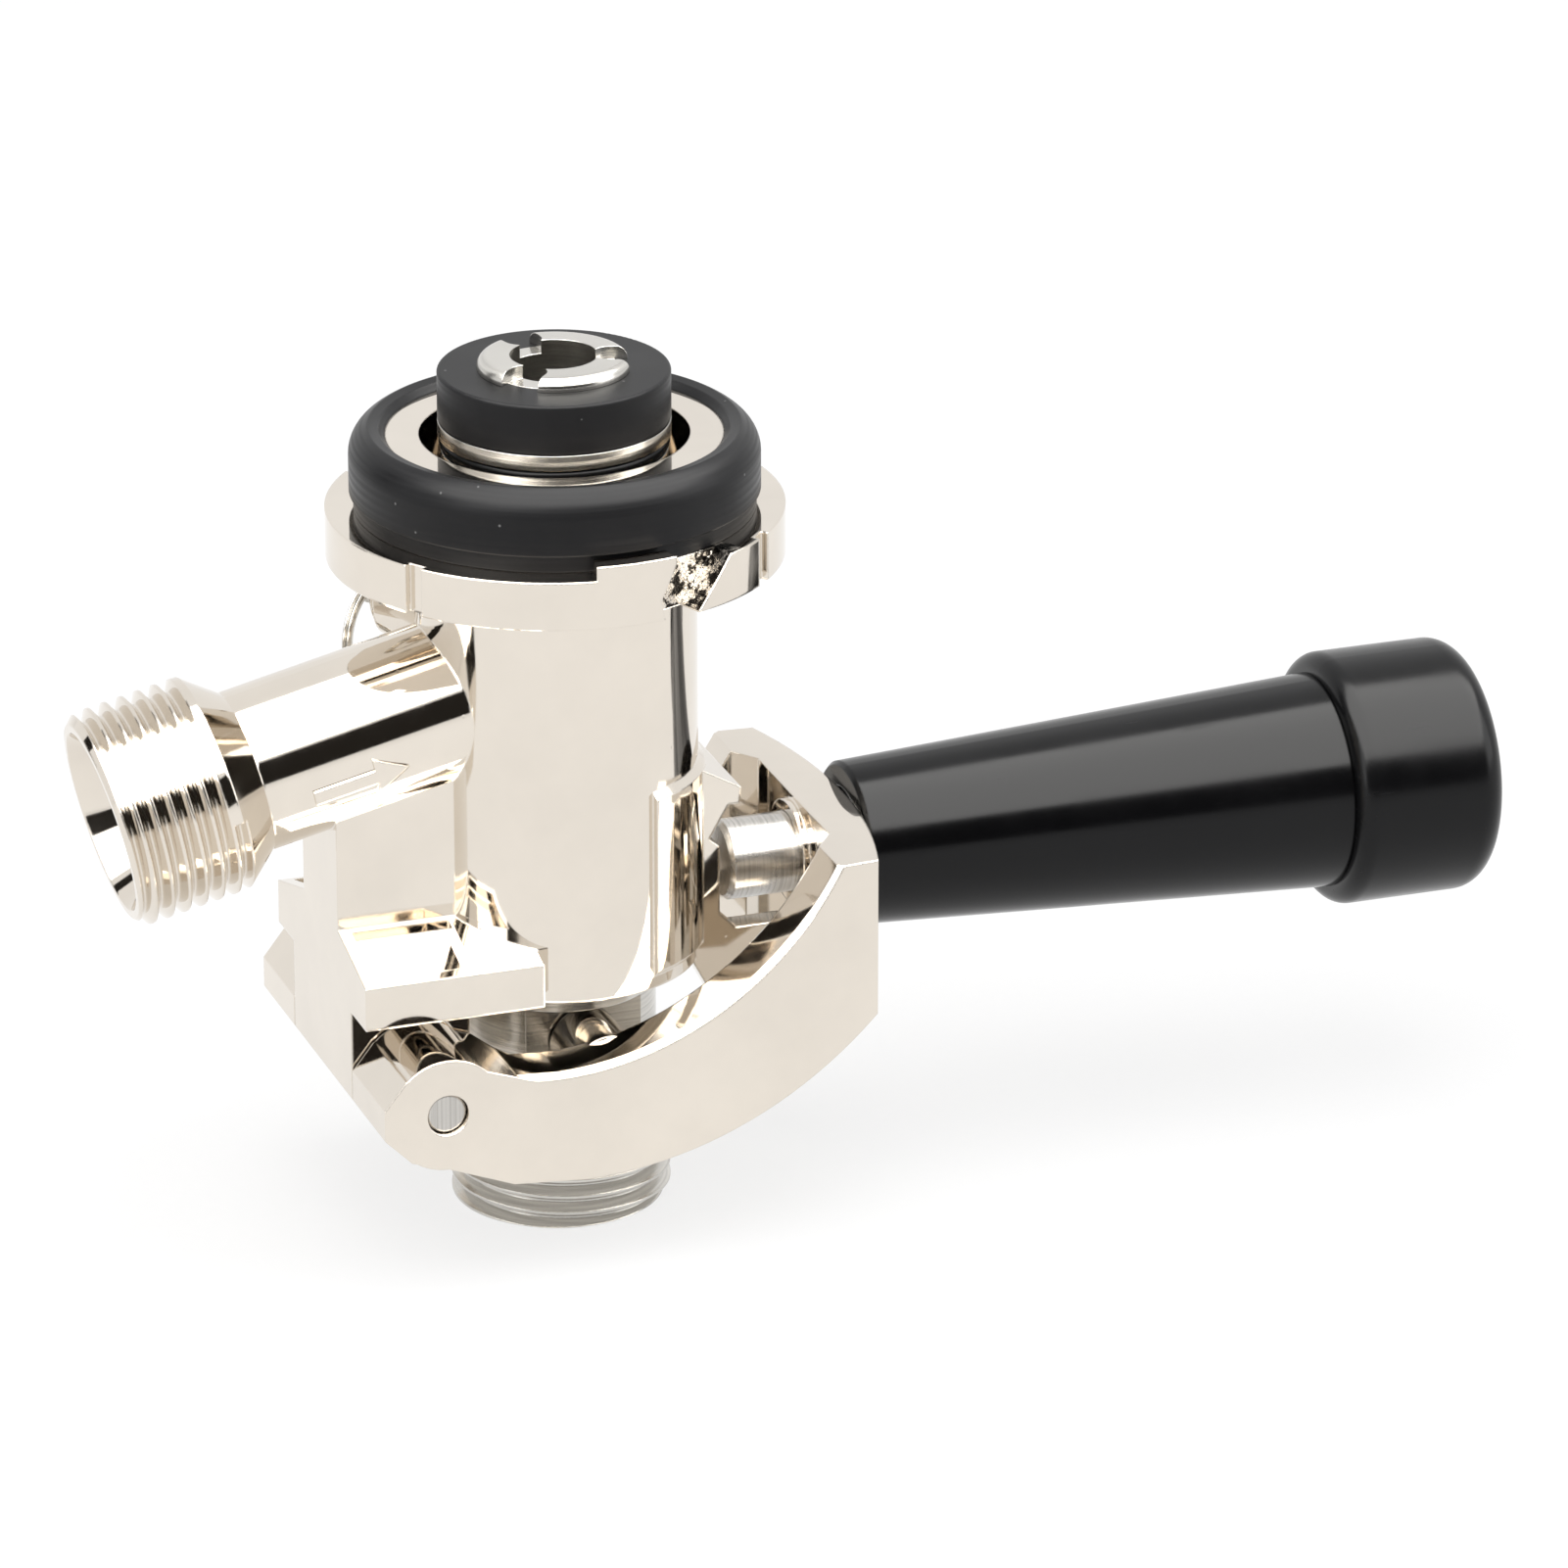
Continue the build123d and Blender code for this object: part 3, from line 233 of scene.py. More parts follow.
def spot_share(tree, place, spot):
    """1 on the unpolished floor of a rim notch: near its middle, inside the rim's radius."""
    middle, reach, rim_r, low, high = spot
    away = add(tree, "ShaderNodeVectorMath", {0: place, 1: middle}, operation="DISTANCE")
    flat = add(tree, "ShaderNodeVectorMath", {0: place, 1: (1.0, 1.0, 0.0)}, operation="MULTIPLY")
    around = add(tree, "ShaderNodeVectorMath", {0: flat.outputs["Vector"]}, operation="LENGTH")
    rise = add(tree, "ShaderNodeSeparateXYZ", {"Vector": place}).outputs["Z"]
    share = maths(tree, "LESS_THAN", away.outputs["Value"], reach)
    for operation, value, limit in (
        ("LESS_THAN", around.outputs["Value"], rim_r),
        ("GREATER_THAN", rise, low),
        ("LESS_THAN", rise, high),
    ):
        share = maths(tree, "MULTIPLY", share, maths(tree, operation, value, limit))
    return share


def turned_steel(name, tone, roughness, axis, bands_per_metre, edge):
    """Stainless steel with the fine bands that a lathe leaves round one axis."""
    finish, tree, shader = new_finish(name)
    place = object_place(tree)
    bands = rings_round(tree, place, axis, bands_per_metre)
    colour = two_tones(tree, spread(tree, bands, 0.3, 0.7), shaded(tone, 0.8), tone)
    tree.links.new(colour, shader.inputs["Base Color"])
    cloud = grain(tree, place, scale=160.0)
    haze = spread(tree, cloud, 0.3, 0.7, roughness * 0.8, roughness * 1.3)
    tree.links.new(haze, shader.inputs["Roughness"])
    shader.inputs["Metallic"].default_value = 1.0
    shader.inputs["Anisotropic"].default_value = 0.4
    lift(tree, shader, bands, strength=0.35, distance=0.03 * MM, edge=edge)
    return finish


def black_rubber(name, tone, roughness, bands_per_metre, edge):
    """Moulded rubber: faint trimming rings, a dull sheen and a little dust."""
    finish, tree, shader = new_finish(name)
    place = object_place(tree)
    bands = rings_round(tree, place, "Z", bands_per_metre)
    cloud = grain(tree, place, scale=240.0, detail=4.0, roughness=0.6)
    clean = two_tones(tree, spread(tree, cloud, 0.3, 0.7), shaded(tone, 0.75), tone)
    dust = add(tree, "ShaderNodeTexVoronoi", {"Vector": place, "Scale": 330.0, "Randomness": 1.0})
    specks = spread(tree, dust.outputs["Distance"], 0.035, 0.055, 1.0, 0.0)
    tree.links.new(mixed_colour(tree, specks, clean, DUST), shader.inputs["Base Color"])
    haze = spread(tree, bands, 0.3, 0.7, roughness * 0.85, roughness * 1.2)
    tree.links.new(haze, shader.inputs["Roughness"])
    shader.inputs["Specular IOR Level"].default_value = 0.2
    lift(tree, shader, bands, strength=0.3, distance=0.03 * MM, edge=edge)
    return finish


def black_plastic(name, tone, roughness, edge):
    """Gloss phenolic-like plastic with hair scratches and a handling haze."""
    finish, tree, shader = new_finish(name)
    place = object_place(tree)
    haze = grain(tree, place, scale=60.0, detail=5.0, roughness=0.65)
    colour = two_tones(tree, spread(tree, haze, 0.35, 0.7), shaded(tone, 0.8), tone)
    tree.links.new(colour, shader.inputs["Base Color"])
    stretch = add(tree, "ShaderNodeMapping", {"Vector": place, "Scale": (90.0, 900.0, 900.0)})
    hairs = grain(tree, stretch.outputs["Vector"], scale=1.0, detail=2.0)
    scratches = maths(tree, "MULTIPLY", spread(tree, hairs, 0.66, 0.72), SCRATCH_ROUGHNESS)
    handled = spread(tree, haze, 0.3, 0.75, roughness * 0.8, roughness * 1.5)
    tree.links.new(maths(tree, "ADD", handled, scratches), shader.inputs["Roughness"])
    shader.inputs["Specular IOR Level"].default_value = 0.22
    skin = grain(tree, place, scale=300.0, detail=2.0)
    lift(tree, shader, skin, strength=0.06, distance=0.04 * MM, edge=edge)
    return finish


def white_plastic(name):
    """Natural white ball plastic, a little cloudy."""
    finish, tree, shader = new_finish(name)
    place = object_place(tree)
    cloud = grain(tree, place, scale=300.0)
    colour = two_tones(tree, cloud, (0.78, 0.78, 0.74), (0.86, 0.86, 0.83))
    tree.links.new(colour, shader.inputs["Base Color"])
    shader.inputs["Roughness"].default_value = 0.4
    shader.inputs["Subsurface Weight"].default_value = 0.1
    shader.inputs["Subsurface Radius"].default_value = (MM, MM, MM)
    return finish


NICKEL = (0.78, 0.72, 0.64)
STEEL = (0.67, 0.65, 0.61)
PIN_STEEL = (0.56, 0.54, 0.51)
SEAL_BLACK = (0.006, 0.006, 0.007)
O_RING_BLACK = (0.005, 0.005, 0.005)
VALVE_BLACK = (0.006, 0.006, 0.006)
GRIP_BLACK = (0.003, 0.003, 0.0035)

# the notch in the flange: its middle, how far its floor reaches, the rim's radius and two heights
NOTCH_TURN = math.radians(-68.0)
NOTCH_R = 22.0 * MM
NOTCH_MIDDLE = (NOTCH_R * math.cos(NOTCH_TURN), NOTCH_R * math.sin(NOTCH_TURN), 73.5 * MM)
NOTCH_SPOT = (NOTCH_MIDDLE, 6.0 * MM, 23.3 * MM, 71.1 * MM, 77.5 * MM)

# each slot's maker, then its tone, its roughness, its marks and the radius of its soft edges
FINISH_TABLE = {
    "nickel_cast": (nickel_plate, NICKEL, 0.055, 0.35 * MM, NOTCH_SPOT),
    "nickel_turned": (nickel_plate, NICKEL, 0.08, 0.15 * MM),
    "probe_steel": (turned_steel, STEEL, 0.2, "Z", 5200.0, 0.15 * MM),
    "pin_steel": (turned_steel, PIN_STEEL, 0.24, "X", 6500.0, 0.2 * MM),
    "tube_steel": (turned_steel, STEEL, 0.3, "X", 4000.0, 0.1 * MM),
    "spring_steel": (nickel_plate, STEEL, 0.16, 0.1 * MM),
    "seal_rubber": (black_rubber, SEAL_BLACK, 0.36, 2600.0, 0.3 * MM),
    "o_ring_rubber": (black_rubber, O_RING_BLACK, 0.3, 900.0, 0.1 * MM),
    "valve_rubber": (black_rubber, VALVE_BLACK, 0.5, 1400.0, 0.2 * MM),
    "ball_plastic": (white_plastic,),
    "grip_plastic": (black_plastic, GRIP_BLACK, 0.16, 0.4 * MM),
    "cap_plastic": (black_plastic, GRIP_BLACK, 0.2, 0.5 * MM),
}
finishes = {name: make(name, *values) for name, (make, *values) in FINISH_TABLE.items()}

slot_of = {row["node"]: row["material_slot"] for row in frame["record"]["subparts"]}
for node_name, cad_node in nodes.items():
    cad_node.data.materials.clear()
    cad_node.data.materials.append(finishes[slot_of[node_name]])


# ================================================================ mesh helpers
# points this near are one, shorter edges are none, and faces this alike share their shading
SAME_SPOT = 1e-7
NO_LENGTH = 1e-8
SPOTS_PER_METRE = 1e6
SAME_FACING = 0.95


def put(name, data):
    """An object with this data, in the scene."""
    thing = bpy.data.objects.new(name, data)
    bpy.context.scene.collection.objects.link(thing)
    return thing


def linked(name, work):
    """Puts a bmesh into the scene as an object."""
    mesh = bpy.data.meshes.new(name)
    work.to_mesh(mesh)
    work.free()
    return put(name, mesh)


def closed(name, work, finish):
    """Puts a closed bmesh into the scene facing outwards, with one finish."""
    bmesh.ops.recalc_face_normals(work, faces=work.faces)
    piece = linked(name, work)
    piece.data.materials.append(finish)
    return piece


def merged_copy(node_name, piece_name):
    """A copy of a node's mesh with its loose triangles joined."""
    mesh = nodes[node_name].data.copy()
    mesh.name = piece_name
    if "custom_normal" in mesh.attributes:
        mesh.attributes.remove(mesh.attributes["custom_normal"])
    work = bmesh.new()
    work.from_mesh(mesh)
    bmesh.ops.remove_doubles(work, verts=work.verts, dist=SAME_SPOT)
    bmesh.ops.dissolve_degenerate(work, edges=work.edges, dist=NO_LENGTH)
    work.to_mesh(mesh)
    work.free()
    mesh.materials.clear()
    mesh.materials.append(finishes[slot_of[node_name]])
    return put(piece_name, mesh)


def baked(piece):
    """Turns a piece's modifiers into its plain mesh."""
    bpy.context.view_layer.update()
    graph = bpy.context.evaluated_depsgraph_get()
    mesh = bpy.data.meshes.new_from_object(piece.evaluated_get(graph))
    piece.modifiers.clear()
    old = piece.data
    piece.data = mesh
    mesh.name = piece.name
    if old.users == 0:
        bpy.data.meshes.remove(old)
    return piece


def drop(piece):
    """Removes a helper object and its mesh."""
    mesh = piece.data
    bpy.data.objects.remove(piece)
    if mesh.users == 0:
        bpy.data.meshes.remove(mesh)


def cut(piece, cutter, operation="DIFFERENCE"):
    """Cuts the cutter out of the piece, or keeps only what lies inside it."""
    step = piece.modifiers.new("cut", "BOOLEAN")
    step.operation = operation
    step.solver = "MANIFOLD"
    step.object = cutter
    baked(piece)
    drop(cutter)
    return piece


def smooth_by_angle(piece, degrees=32.0):
    """Shades curved faces smooth and keeps real edges sharp."""
    mesh = piece.data
    mesh.shade_smooth()
    mesh.set_sharp_from_angle(angle=math.radians(degrees))
    return piece


def spot_key(mesh, corner):
    """The place of a face's corner as whole micrometres."""
    place = mesh.vertices[mesh.loops[corner].vertex_index].co
    return tuple(round(value * SPOTS_PER_METRE) for value in place)


def keep_shading(piece, node_name):
    """Takes the solid's own corner normals back wherever the piece still has the solid's faces."""
    solid = nodes[node_name].data
    known = {}
    for face in solid.polygons:
        for corner in face.loop_indices:
            pair = (face.normal, solid.corner_normals[corner].vector)
            known.setdefault(spot_key(solid, corner), []).append(pair)
    mesh = piece.data
    normals = [corner.vector.copy() for corner in mesh.corner_normals]
    for face in mesh.polygons:
        for corner in face.loop_indices:
            close = known.get(spot_key(mesh, corner))
            if close:
                facing_way, normal = max(close, key=lambda pair: pair[0].dot(face.normal))
                if facing_way.dot(face.normal) > SAME_FACING:
                    normals[corner] = normal.copy()
    mesh.normals_split_custom_set(normals)
    return piece


def turned(name, outline, finish, steps=160):
    """A closed ring turned round Z from its outline in X and Z."""
    work = bmesh.new()
    corners = [work.verts.new((x, 0.0, z)) for x, z in outline]
    for first, second in zip(corners, corners[1:] + corners[:1]):
        work.edges.new((first, second))
    bmesh.ops.spin(
        work,
        geom=work.verts[:] + work.edges[:],
        cent=(0.0, 0.0, 0.0),
        axis=(0.0, 0.0, 1.0),
        angle=2 * math.pi,
        steps=steps,
        use_merge=True,
    )
    bmesh.ops.remove_doubles(work, verts=work.verts, dist=SAME_SPOT)
    return closed(name, work, finish)


def tree_with_inputs(name, sizes):
    """An empty Geometry Nodes tree with named float inputs, its group input and its output."""
    tree = bpy.data.node_groups.new(name, "GeometryNodeTree")
    tree.interface.new_socket("Geometry", in_out="OUTPUT", socket_type="NodeSocketGeometry")
    for label, value in sizes.items():
        socket = tree.interface.new_socket(label, in_out="INPUT", socket_type="NodeSocketFloat")
        socket.default_value = value
    tree.interface.new_socket("Finish", in_out="INPUT", socket_type="NodeSocketMaterial")
    start = tree.nodes.new("NodeGroupInput")
    end = tree.nodes.new("NodeGroupOutput")
    return tree, start, end


def grown(tree, piece_name, sizes, finish):
    """An object whose mesh a Geometry Nodes tree makes from these sizes."""
    piece = put(piece_name, bpy.data.meshes.new(piece_name))
    step = piece.modifiers.new("form", "NODES")
    step.node_group = tree
    for item in tree.interface.items_tree:
        if item.in_out == "INPUT" and item.name in sizes:
            step[item.identifier] = sizes[item.name]
        if item.in_out == "INPUT" and item.name == "Finish":
            step[item.identifier] = finish
    return baked(piece)


def finish_tree(tree, start, end, geometry):
    """Closes a tree with Realize Instances and Set Material."""
    real = add(tree, "GeometryNodeRealizeInstances", {"Geometry": geometry})
    coat = add(
        tree,
        "GeometryNodeSetMaterial",
        {"Geometry": real.outputs["Geometry"], "Material": start.outputs["Finish"]},
    )
    tree.links.new(coat.outputs["Geometry"], end.inputs["Geometry"])


# ================================================================ threads
# the groove's section: how far it reaches out in depths, and its half widths in pitches
GROOVE_REACH = 1.12
ROOT_HALF = 0.06
MOUTH_HALF = 0.47
STEPS_PER_TURN = 72


def groove_tree():
    """A helical groove round Z: a spiral path with a section that narrows inwards."""
    tree, start, end = tree_with_inputs(
        "thread_groove",
        {"Crest Radius": THREAD_R, "Depth": THREAD_DEPTH, "Pitch": THREAD_PITCH, "Turns": 6.0},
    )
    given = start.outputs
    height = maths(tree, "MULTIPLY", given["Pitch"], given["Turns"])
    root = maths(tree, "SUBTRACT", given["Crest Radius"], given["Depth"])
    path = add(
        tree,
        "GeometryNodeCurveSpiral",
        {
            "Resolution": STEPS_PER_TURN,
            "Rotations": given["Turns"],
            "Start Radius": root,
            "End Radius": root,
            "Height": height,
        },
    )
    upright = add(tree, "GeometryNodeSetCurveNormal", {"Curve": path.outputs["Curve"]}, mode="Z_UP")
    reach = maths(tree, "MULTIPLY", given["Depth"], GROOVE_REACH)
    shares = ((0.0, ROOT_HALF), (-1.0, MOUTH_HALF), (-1.0, -MOUTH_HALF), (0.0, -ROOT_HALF))
    corners = {}
    for number, (across, share) in enumerate(shares, start=1):
        out = maths(tree, "MULTIPLY", reach, across)
        up = maths(tree, "MULTIPLY", given["Pitch"], share)
        corner = add(tree, "ShaderNodeCombineXYZ", {"X": out, "Y": up})
        corners[f"Point {number}"] = corner.outputs[0]
    section = add(tree, "GeometryNodeCurvePrimitiveQuadrilateral", corners, mode="POINTS")
    groove = add(
        tree,
        "GeometryNodeCurveToMesh",
        {
            "Curve": upright.outputs["Curve"],
            "Profile Curve": section.outputs["Curve"],
            "Fill Caps": True,
        },
    )
    joined = add(
        tree,
        "GeometryNodeMergeByDistance",
        {"Geometry": groove.outputs["Mesh"], "Distance": SAME_SPOT},
    )
    finish_tree(tree, start, end, joined.outputs["Geometry"])
    return tree


thread_groove = groove_tree()


def outward_normals(piece):
    """Makes a closed mesh face outwards."""
    work = bmesh.new()
    work.from_mesh(piece.data)
    bmesh.ops.recalc_face_normals(work, faces=work.faces)
    work.to_mesh(piece.data)
    work.free()
    return piece


def thread_cutter(name, length, finish, to_place):
    """The groove of a thread of this length, carried to its place."""
    cutter = grown(thread_groove, name, {"Turns": length / THREAD_PITCH}, finish)
    cutter.data.transform(to_place)
    return outward_normals(cutter)


# ================================================================ threaded casting and probe
THREAD_START = 0.2 * MM  # the gas groove starts this far beyond the thread's inner end
THREAD_RUN_OUT = 1.6 * MM  # a groove is this much longer than its thread
TIP_ROUND = 1.15 * MM
CUTTER_OUT = 1.0 * MM  # the corner cutter reaches this far outside the tip
CUTTER_UP = 0.5 * MM  # and this far above it

gas_place = Matrix.Translation(GAS_START + GAS_OUT * GAS_REACH) @ GAS_OUT.to_track_quat(
    "Z", "Y"
).to_matrix().to_4x4()
gas_back = Matrix.Translation((0.0, 0.0, -GAS_THREAD_L + THREAD_START))
gas_groove = thread_cutter(
    "gas_groove", GAS_THREAD_L + THREAD_RUN_OUT, finishes["nickel_cast"], gas_place @ gas_back
)
casting = cut(merged_copy("body_casting", "casting_with_thread"), gas_groove)
smooth_by_angle(casting)
keep_shading(casting, "body_casting")
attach(casting, "body")
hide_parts("body_casting")

outlet_back = Matrix.Translation((0.0, 0.0, -THREAD_RUN_OUT))
outlet_groove = thread_cutter(
    "outlet_groove", OUTLET_THREAD_L + THREAD_RUN_OUT, finishes["probe_steel"], outlet_back
)
beer_probe = cut(merged_copy("probe", "probe_with_thread"), outlet_groove)
corner_r = TIP_R - TIP_ROUND
corner_z = PROBE_TOP - TIP_ROUND
corner_path = [
    (
        corner_r + TIP_ROUND * math.cos(math.radians(turn)),
        corner_z + TIP_ROUND * math.sin(math.radians(turn)),
    )
    for turn in range(0, 91, 10)
]
corner_outline = [
    (TIP_R + CUTTER_OUT, corner_z),
    *corner_path,
    (corner_r, PROBE_TOP + CUTTER_UP),
    (TIP_R + CUTTER_OUT, PROBE_TOP + CUTTER_UP),
]
cut(beer_probe, turned("tip_corner", corner_outline, finishes["probe_steel"]))
smooth_by_angle(beer_probe)
keep_shading(beer_probe, "probe")
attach(beer_probe, "probe")
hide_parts("probe")


# ================================================================ flow arrow on the gas neck
ARROW_TURN = math.radians(-10.4)
ARROW_RISE = 0.3 * MM
ARROW_ROOT = 0.9 * MM  # the arrow starts this far under the neck's skin
ARROW_BLOCK = 2.0 * MM  # height of the arrow before the skin trims it
SKIN_SEGMENTS = 288
SKIN_LENGTH = 20.0 * MM
neck_up = GAS_OUT.cross(Vector((0.0, 1.0, 0.0)))
if neck_up.z < 0:
    neck_up.negate()
arrow_out = Vector((0.0, -1.0, 0.0)) * math.cos(ARROW_TURN) + neck_up * math.sin(ARROW_TURN)
arrow_up = neck_up * math.cos(ARROW_TURN) + Vector((0.0, 1.0, 0.0)) * math.sin(ARROW_TURN)


def flow_arrow(tail, neck, tip, half_shaft, half_head):
    """A raised arrow wrapped on the neck, pointing to the barrel."""
    outline = [
        (tail, half_shaft),
        (neck, half_shaft),
        (neck, half_head),
        (tip, 0.0),
        (neck, -half_head),
        (neck, -half_shaft),
        (tail, -half_shaft),
    ]
    work = bmesh.new()
    inside = arrow_out * (GAS_NECK_R - ARROW_ROOT)
    corners = [
        work.verts.new(GAS_START + GAS_OUT * along + arrow_up * across + inside)
        for along, across in outline
    ]
    raised = bmesh.ops.extrude_face_region(work, geom=[work.faces.new(corners)])
    top = [part for part in raised["geom"] if isinstance(part, bmesh.types.BMVert)]
    bmesh.ops.translate(work, verts=top, vec=arrow_out * ARROW_BLOCK)
    arrow = closed("flow_arrow", work, finishes["nickel_cast"])
    skin = bmesh.new()
    bmesh.ops.create_cone(
        skin,
        cap_ends=True,
        segments=SKIN_SEGMENTS,
        radius1=GAS_NECK_R + ARROW_RISE,
        radius2=GAS_NECK_R + ARROW_RISE,
        depth=SKIN_LENGTH,
    )
    along_neck = GAS_OUT.to_track_quat("Z", "Y").to_matrix().to_4x4()
    middle = GAS_START + GAS_OUT * (tail + tip) / 2
    bmesh.ops.transform(skin, matrix=Matrix.Translation(middle) @ along_neck, verts=skin.verts)
    cut(arrow, closed("arrow_skin", skin, finishes["nickel_cast"]), "INTERSECT")
    return smooth_by_angle(arrow, degrees=20.0)


arrow = flow_arrow(
    tail=29.7 * MM, neck=23.0 * MM, tip=19.4 * MM, half_shaft=0.8 * MM, half_head=2.1 * MM
)
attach(arrow, "body")


# ================================================================ split pull ring
RING_START = -2.2  # radians from the top at which the wire starts
STEPS_ROUND_RING = 96
WIRE_CORNERS = 14


def split_ring(wire_across, wire_along, turns, step_turn):
    """Two flat turns of wire side by side, with the short bend that joins them."""
    centre = RELIEF_OUT * EYE_AT + Vector((0.0, 0.0, RELIEF_HEIGHT - RING_R))
    work = bmesh.new()
    rows = []
    for index in range(int(STEPS_ROUND_RING * turns) + 1):
        turn = 2 * math.pi * index / STEPS_ROUND_RING + RING_START
        share = min(max((index / STEPS_ROUND_RING - 1.0) / step_turn + 0.5, 0.0), 1.0)
        aside = wire_along * (2 * (share * share * (3 - 2 * share)) - 1)
        outward = RELIEF_SIDE * math.sin(turn) + Vector((0.0, 0.0, math.cos(turn)))
        row = []
        for corner in range(WIRE_CORNERS):
            angle = 2 * math.pi * corner / WIRE_CORNERS
            place = centre + outward * (RING_R + wire_across * math.cos(angle))
            row.append(work.verts.new(place + RELIEF_OUT * (aside + wire_along * math.sin(angle))))
        rows.append(row)
    for first, second in zip(rows, rows[1:]):
        for corner in range(WIRE_CORNERS):
            after = (corner + 1) % WIRE_CORNERS
            work.faces.new((first[corner], first[after], second[after], second[corner]))
    work.faces.new(rows[0])
    work.faces.new(rows[-1])
    return smooth_by_angle(closed("split_ring", work, finishes["spring_steel"]), degrees=50.0)


pull_ring = split_ring(wire_across=0.5 * MM, wire_along=0.27 * MM, turns=1.96, step_turn=0.05)
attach(pull_ring, "ring")
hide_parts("pull_ring")


# ================================================================ floor, light and camera
FLOOR_SIZE = 7.0
FLOOR_GAP = 0.2 * MM
FLOOR_GLOW = 0.72
AMBIENT = 0.75
PART_MIDDLE = (0.0, 0.0, 0.045)
LAMP_TARGET = (0.02, 0.0, 0.045)
BRIGHT_CARD = (1.0, 0.99, 0.97)
DARK_CARD = (0.02, 0.018, 0.016)
BAND_STRENGTH = 7.0


def floor_finish():
    """A pale floor that shows white where nothing shades it."""
    finish = bpy.data.materials.new("floor_paper")
    tree, output = cleared(finish, "ShaderNodeOutputMaterial")
    place = object_place(tree)
    tooth = grain(tree, place, scale=900.0, detail=2.0)
    paper = two_tones(tree, tooth, (0.86, 0.86, 0.86), (0.9, 0.9, 0.9))
    lit = add(tree, "ShaderNodeBsdfDiffuse", {"Color": paper})
    glow = add(tree, "ShaderNodeEmission", {"Color": WHITE, "Strength": 1.0})
    share = maths(tree, "MULTIPLY", bright_rays(tree), FLOOR_GLOW)
    mixed = add(tree, "ShaderNodeMixShader", {"Fac": share, 1: lit.outputs[0], 2: glow.outputs[0]})
    tree.links.new(mixed.outputs[0], output.inputs["Surface"])
    return finish


def bright_rays(tree):
    """1 for camera, glossy and transmission rays."""
    ray = add(tree, "ShaderNodeLightPath").outputs
    first = maths(tree, "MAXIMUM", ray["Is Camera Ray"], ray["Is Glossy Ray"])
    return maths(tree, "MAXIMUM", first, ray["Is Transmission Ray"])


def studio_world():
    """White for what the camera and the metal see, plainer light for the rest."""
    world = bpy.data.worlds.new("studio")
    bpy.context.scene.world = world
    tree, output = cleared(world, "ShaderNodeOutputWorld")
    ambient = add(tree, "ShaderNodeBackground", {"Color": WHITE, "Strength": AMBIENT})
    white = add(tree, "ShaderNodeBackground", {"Color": WHITE, "Strength": 1.0})
    mixed = add(
        tree,
        "ShaderNodeMixShader",
        {"Fac": bright_rays(tree), 1: ambient.outputs[0], 2: white.outputs[0]},
    )
    tree.links.new(mixed.outputs[0], output.inputs["Surface"])


def sheet_mesh(name, width, height, cuts=12):
    """A flat sheet in X and Y, centred, with a gentle subdivision."""
    work = bmesh.new()
    bmesh.ops.create_grid(work, x_segments=cuts, y_segments=cuts, size=0.5)
    bmesh.ops.scale(work, vec=(width, height, 1.0), verts=work.verts)
    return linked(name, work)


def facing(place, target):
    """The turn that points a lamp or a sheet at a target."""
    return (Vector(target) - Vector(place)).to_track_quat("-Z", "Y").to_matrix().to_4x4()


def soft_box(name, place, size, watts):
    """A soft area lamp turned to the part."""
    lamp = bpy.data.lights.new(name, "AREA")
    lamp.shape = "RECTANGLE"
    lamp.size, lamp.size_y = size
    lamp.energy = watts
    put(name, lamp).matrix_world = Matrix.Translation(place) @ facing(place, LAMP_TARGET)


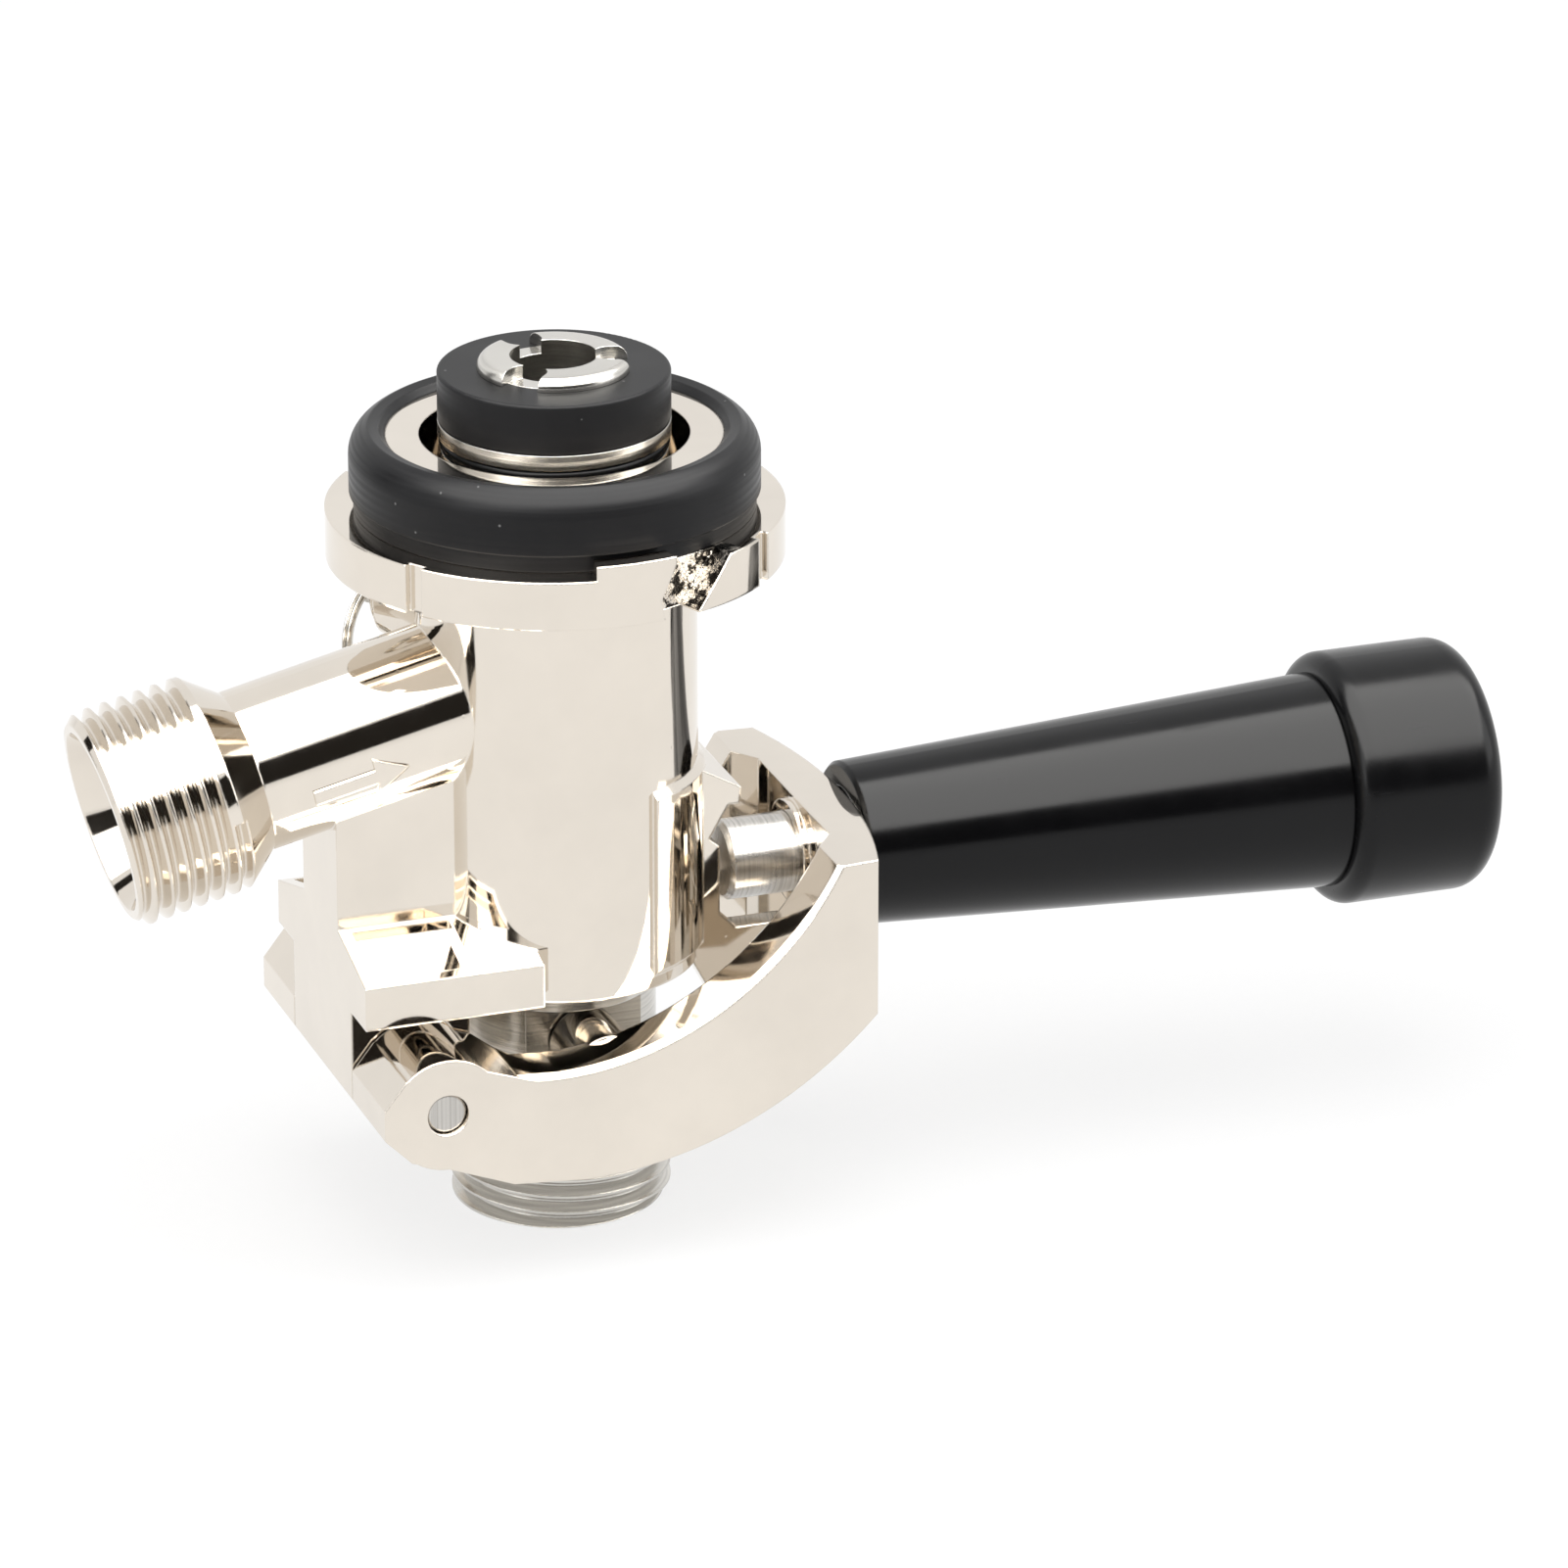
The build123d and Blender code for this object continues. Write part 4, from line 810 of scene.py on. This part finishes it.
def card(name, place, size, tone, target=PART_MIDDLE, strength=1.0):
    """A card that only reflections see, as a studio sets it for dark edges and bright bands."""
    sheet = sheet_mesh(name, *size)
    sheet.data.transform(Matrix.Translation(place) @ facing(place, target))
    finish = bpy.data.materials.new(name)
    tree, output = cleared(finish, "ShaderNodeOutputMaterial")
    cloth = add(tree, "ShaderNodeEmission", {"Color": (*tone, 1.0), "Strength": strength})
    tree.links.new(cloth.outputs[0], output.inputs["Surface"])
    sheet.data.materials.append(finish)
    sheet.visible_camera = False
    sheet.visible_diffuse = False
    sheet.visible_shadow = False
    sheet.visible_transmission = False


floor = sheet_mesh("floor", FLOOR_SIZE, FLOOR_SIZE)
floor.data.transform(Matrix.Translation((0.0, 0.0, cad_box[0][2] - FLOOR_GAP)))
floor.data.materials.append(floor_finish())
studio_world()

soft_box("top_box", place=(-0.1, -0.15, 0.9), size=(0.9, 0.9), watts=5.0)
soft_box("left_box", place=(-0.8, -0.5, 0.45), size=(0.6, 0.8), watts=3.0)
soft_box("right_box", place=(0.8, -0.35, 0.5), size=(0.5, 0.8), watts=2.5)

card(
    "band_card",
    place=(0.0, -0.33, 0.62),
    size=(1.6, 1.05),
    tone=BRIGHT_CARD,
    target=(0.0, -0.33, 0.0),
    strength=BAND_STRENGTH,
)
card(
    "front_card",
    place=(-0.1, -0.62, 0.235),
    size=(1.5, 0.36),
    tone=DARK_CARD,
    target=(-0.1, 0.0, 0.235),
)
card("card_left", place=(-0.3, 0.22, 0.10), size=(0.08, 0.5), tone=DARK_CARD)

VIEW_TURN = math.radians(-19.5)
VIEW_RISE = math.radians(22.0)
VIEW_DISTANCE = 1.0183
VIEW_AIM = Vector((0.02474, 0.0, 0.04172))
LENS_MM = 224.9
SENSOR_MM = 36.0
CLIP_RANGE = (0.05, 20.0)

toward_camera = Vector(
    (
        math.sin(VIEW_TURN) * math.cos(VIEW_RISE),
        -math.cos(VIEW_TURN) * math.cos(VIEW_RISE),
        math.sin(VIEW_RISE),
    )
)
lens = bpy.data.cameras.new("camera")
lens.lens = LENS_MM
lens.sensor_width = SENSOR_MM
lens.clip_start, lens.clip_end = CLIP_RANGE
camera = put("camera", lens)
camera_place = VIEW_AIM + toward_camera * VIEW_DISTANCE
camera.matrix_world = Matrix.Translation(camera_place) @ facing(camera_place, VIEW_AIM)
bpy.context.scene.camera = camera
bpy.context.scene.view_settings.view_transform = "Standard"
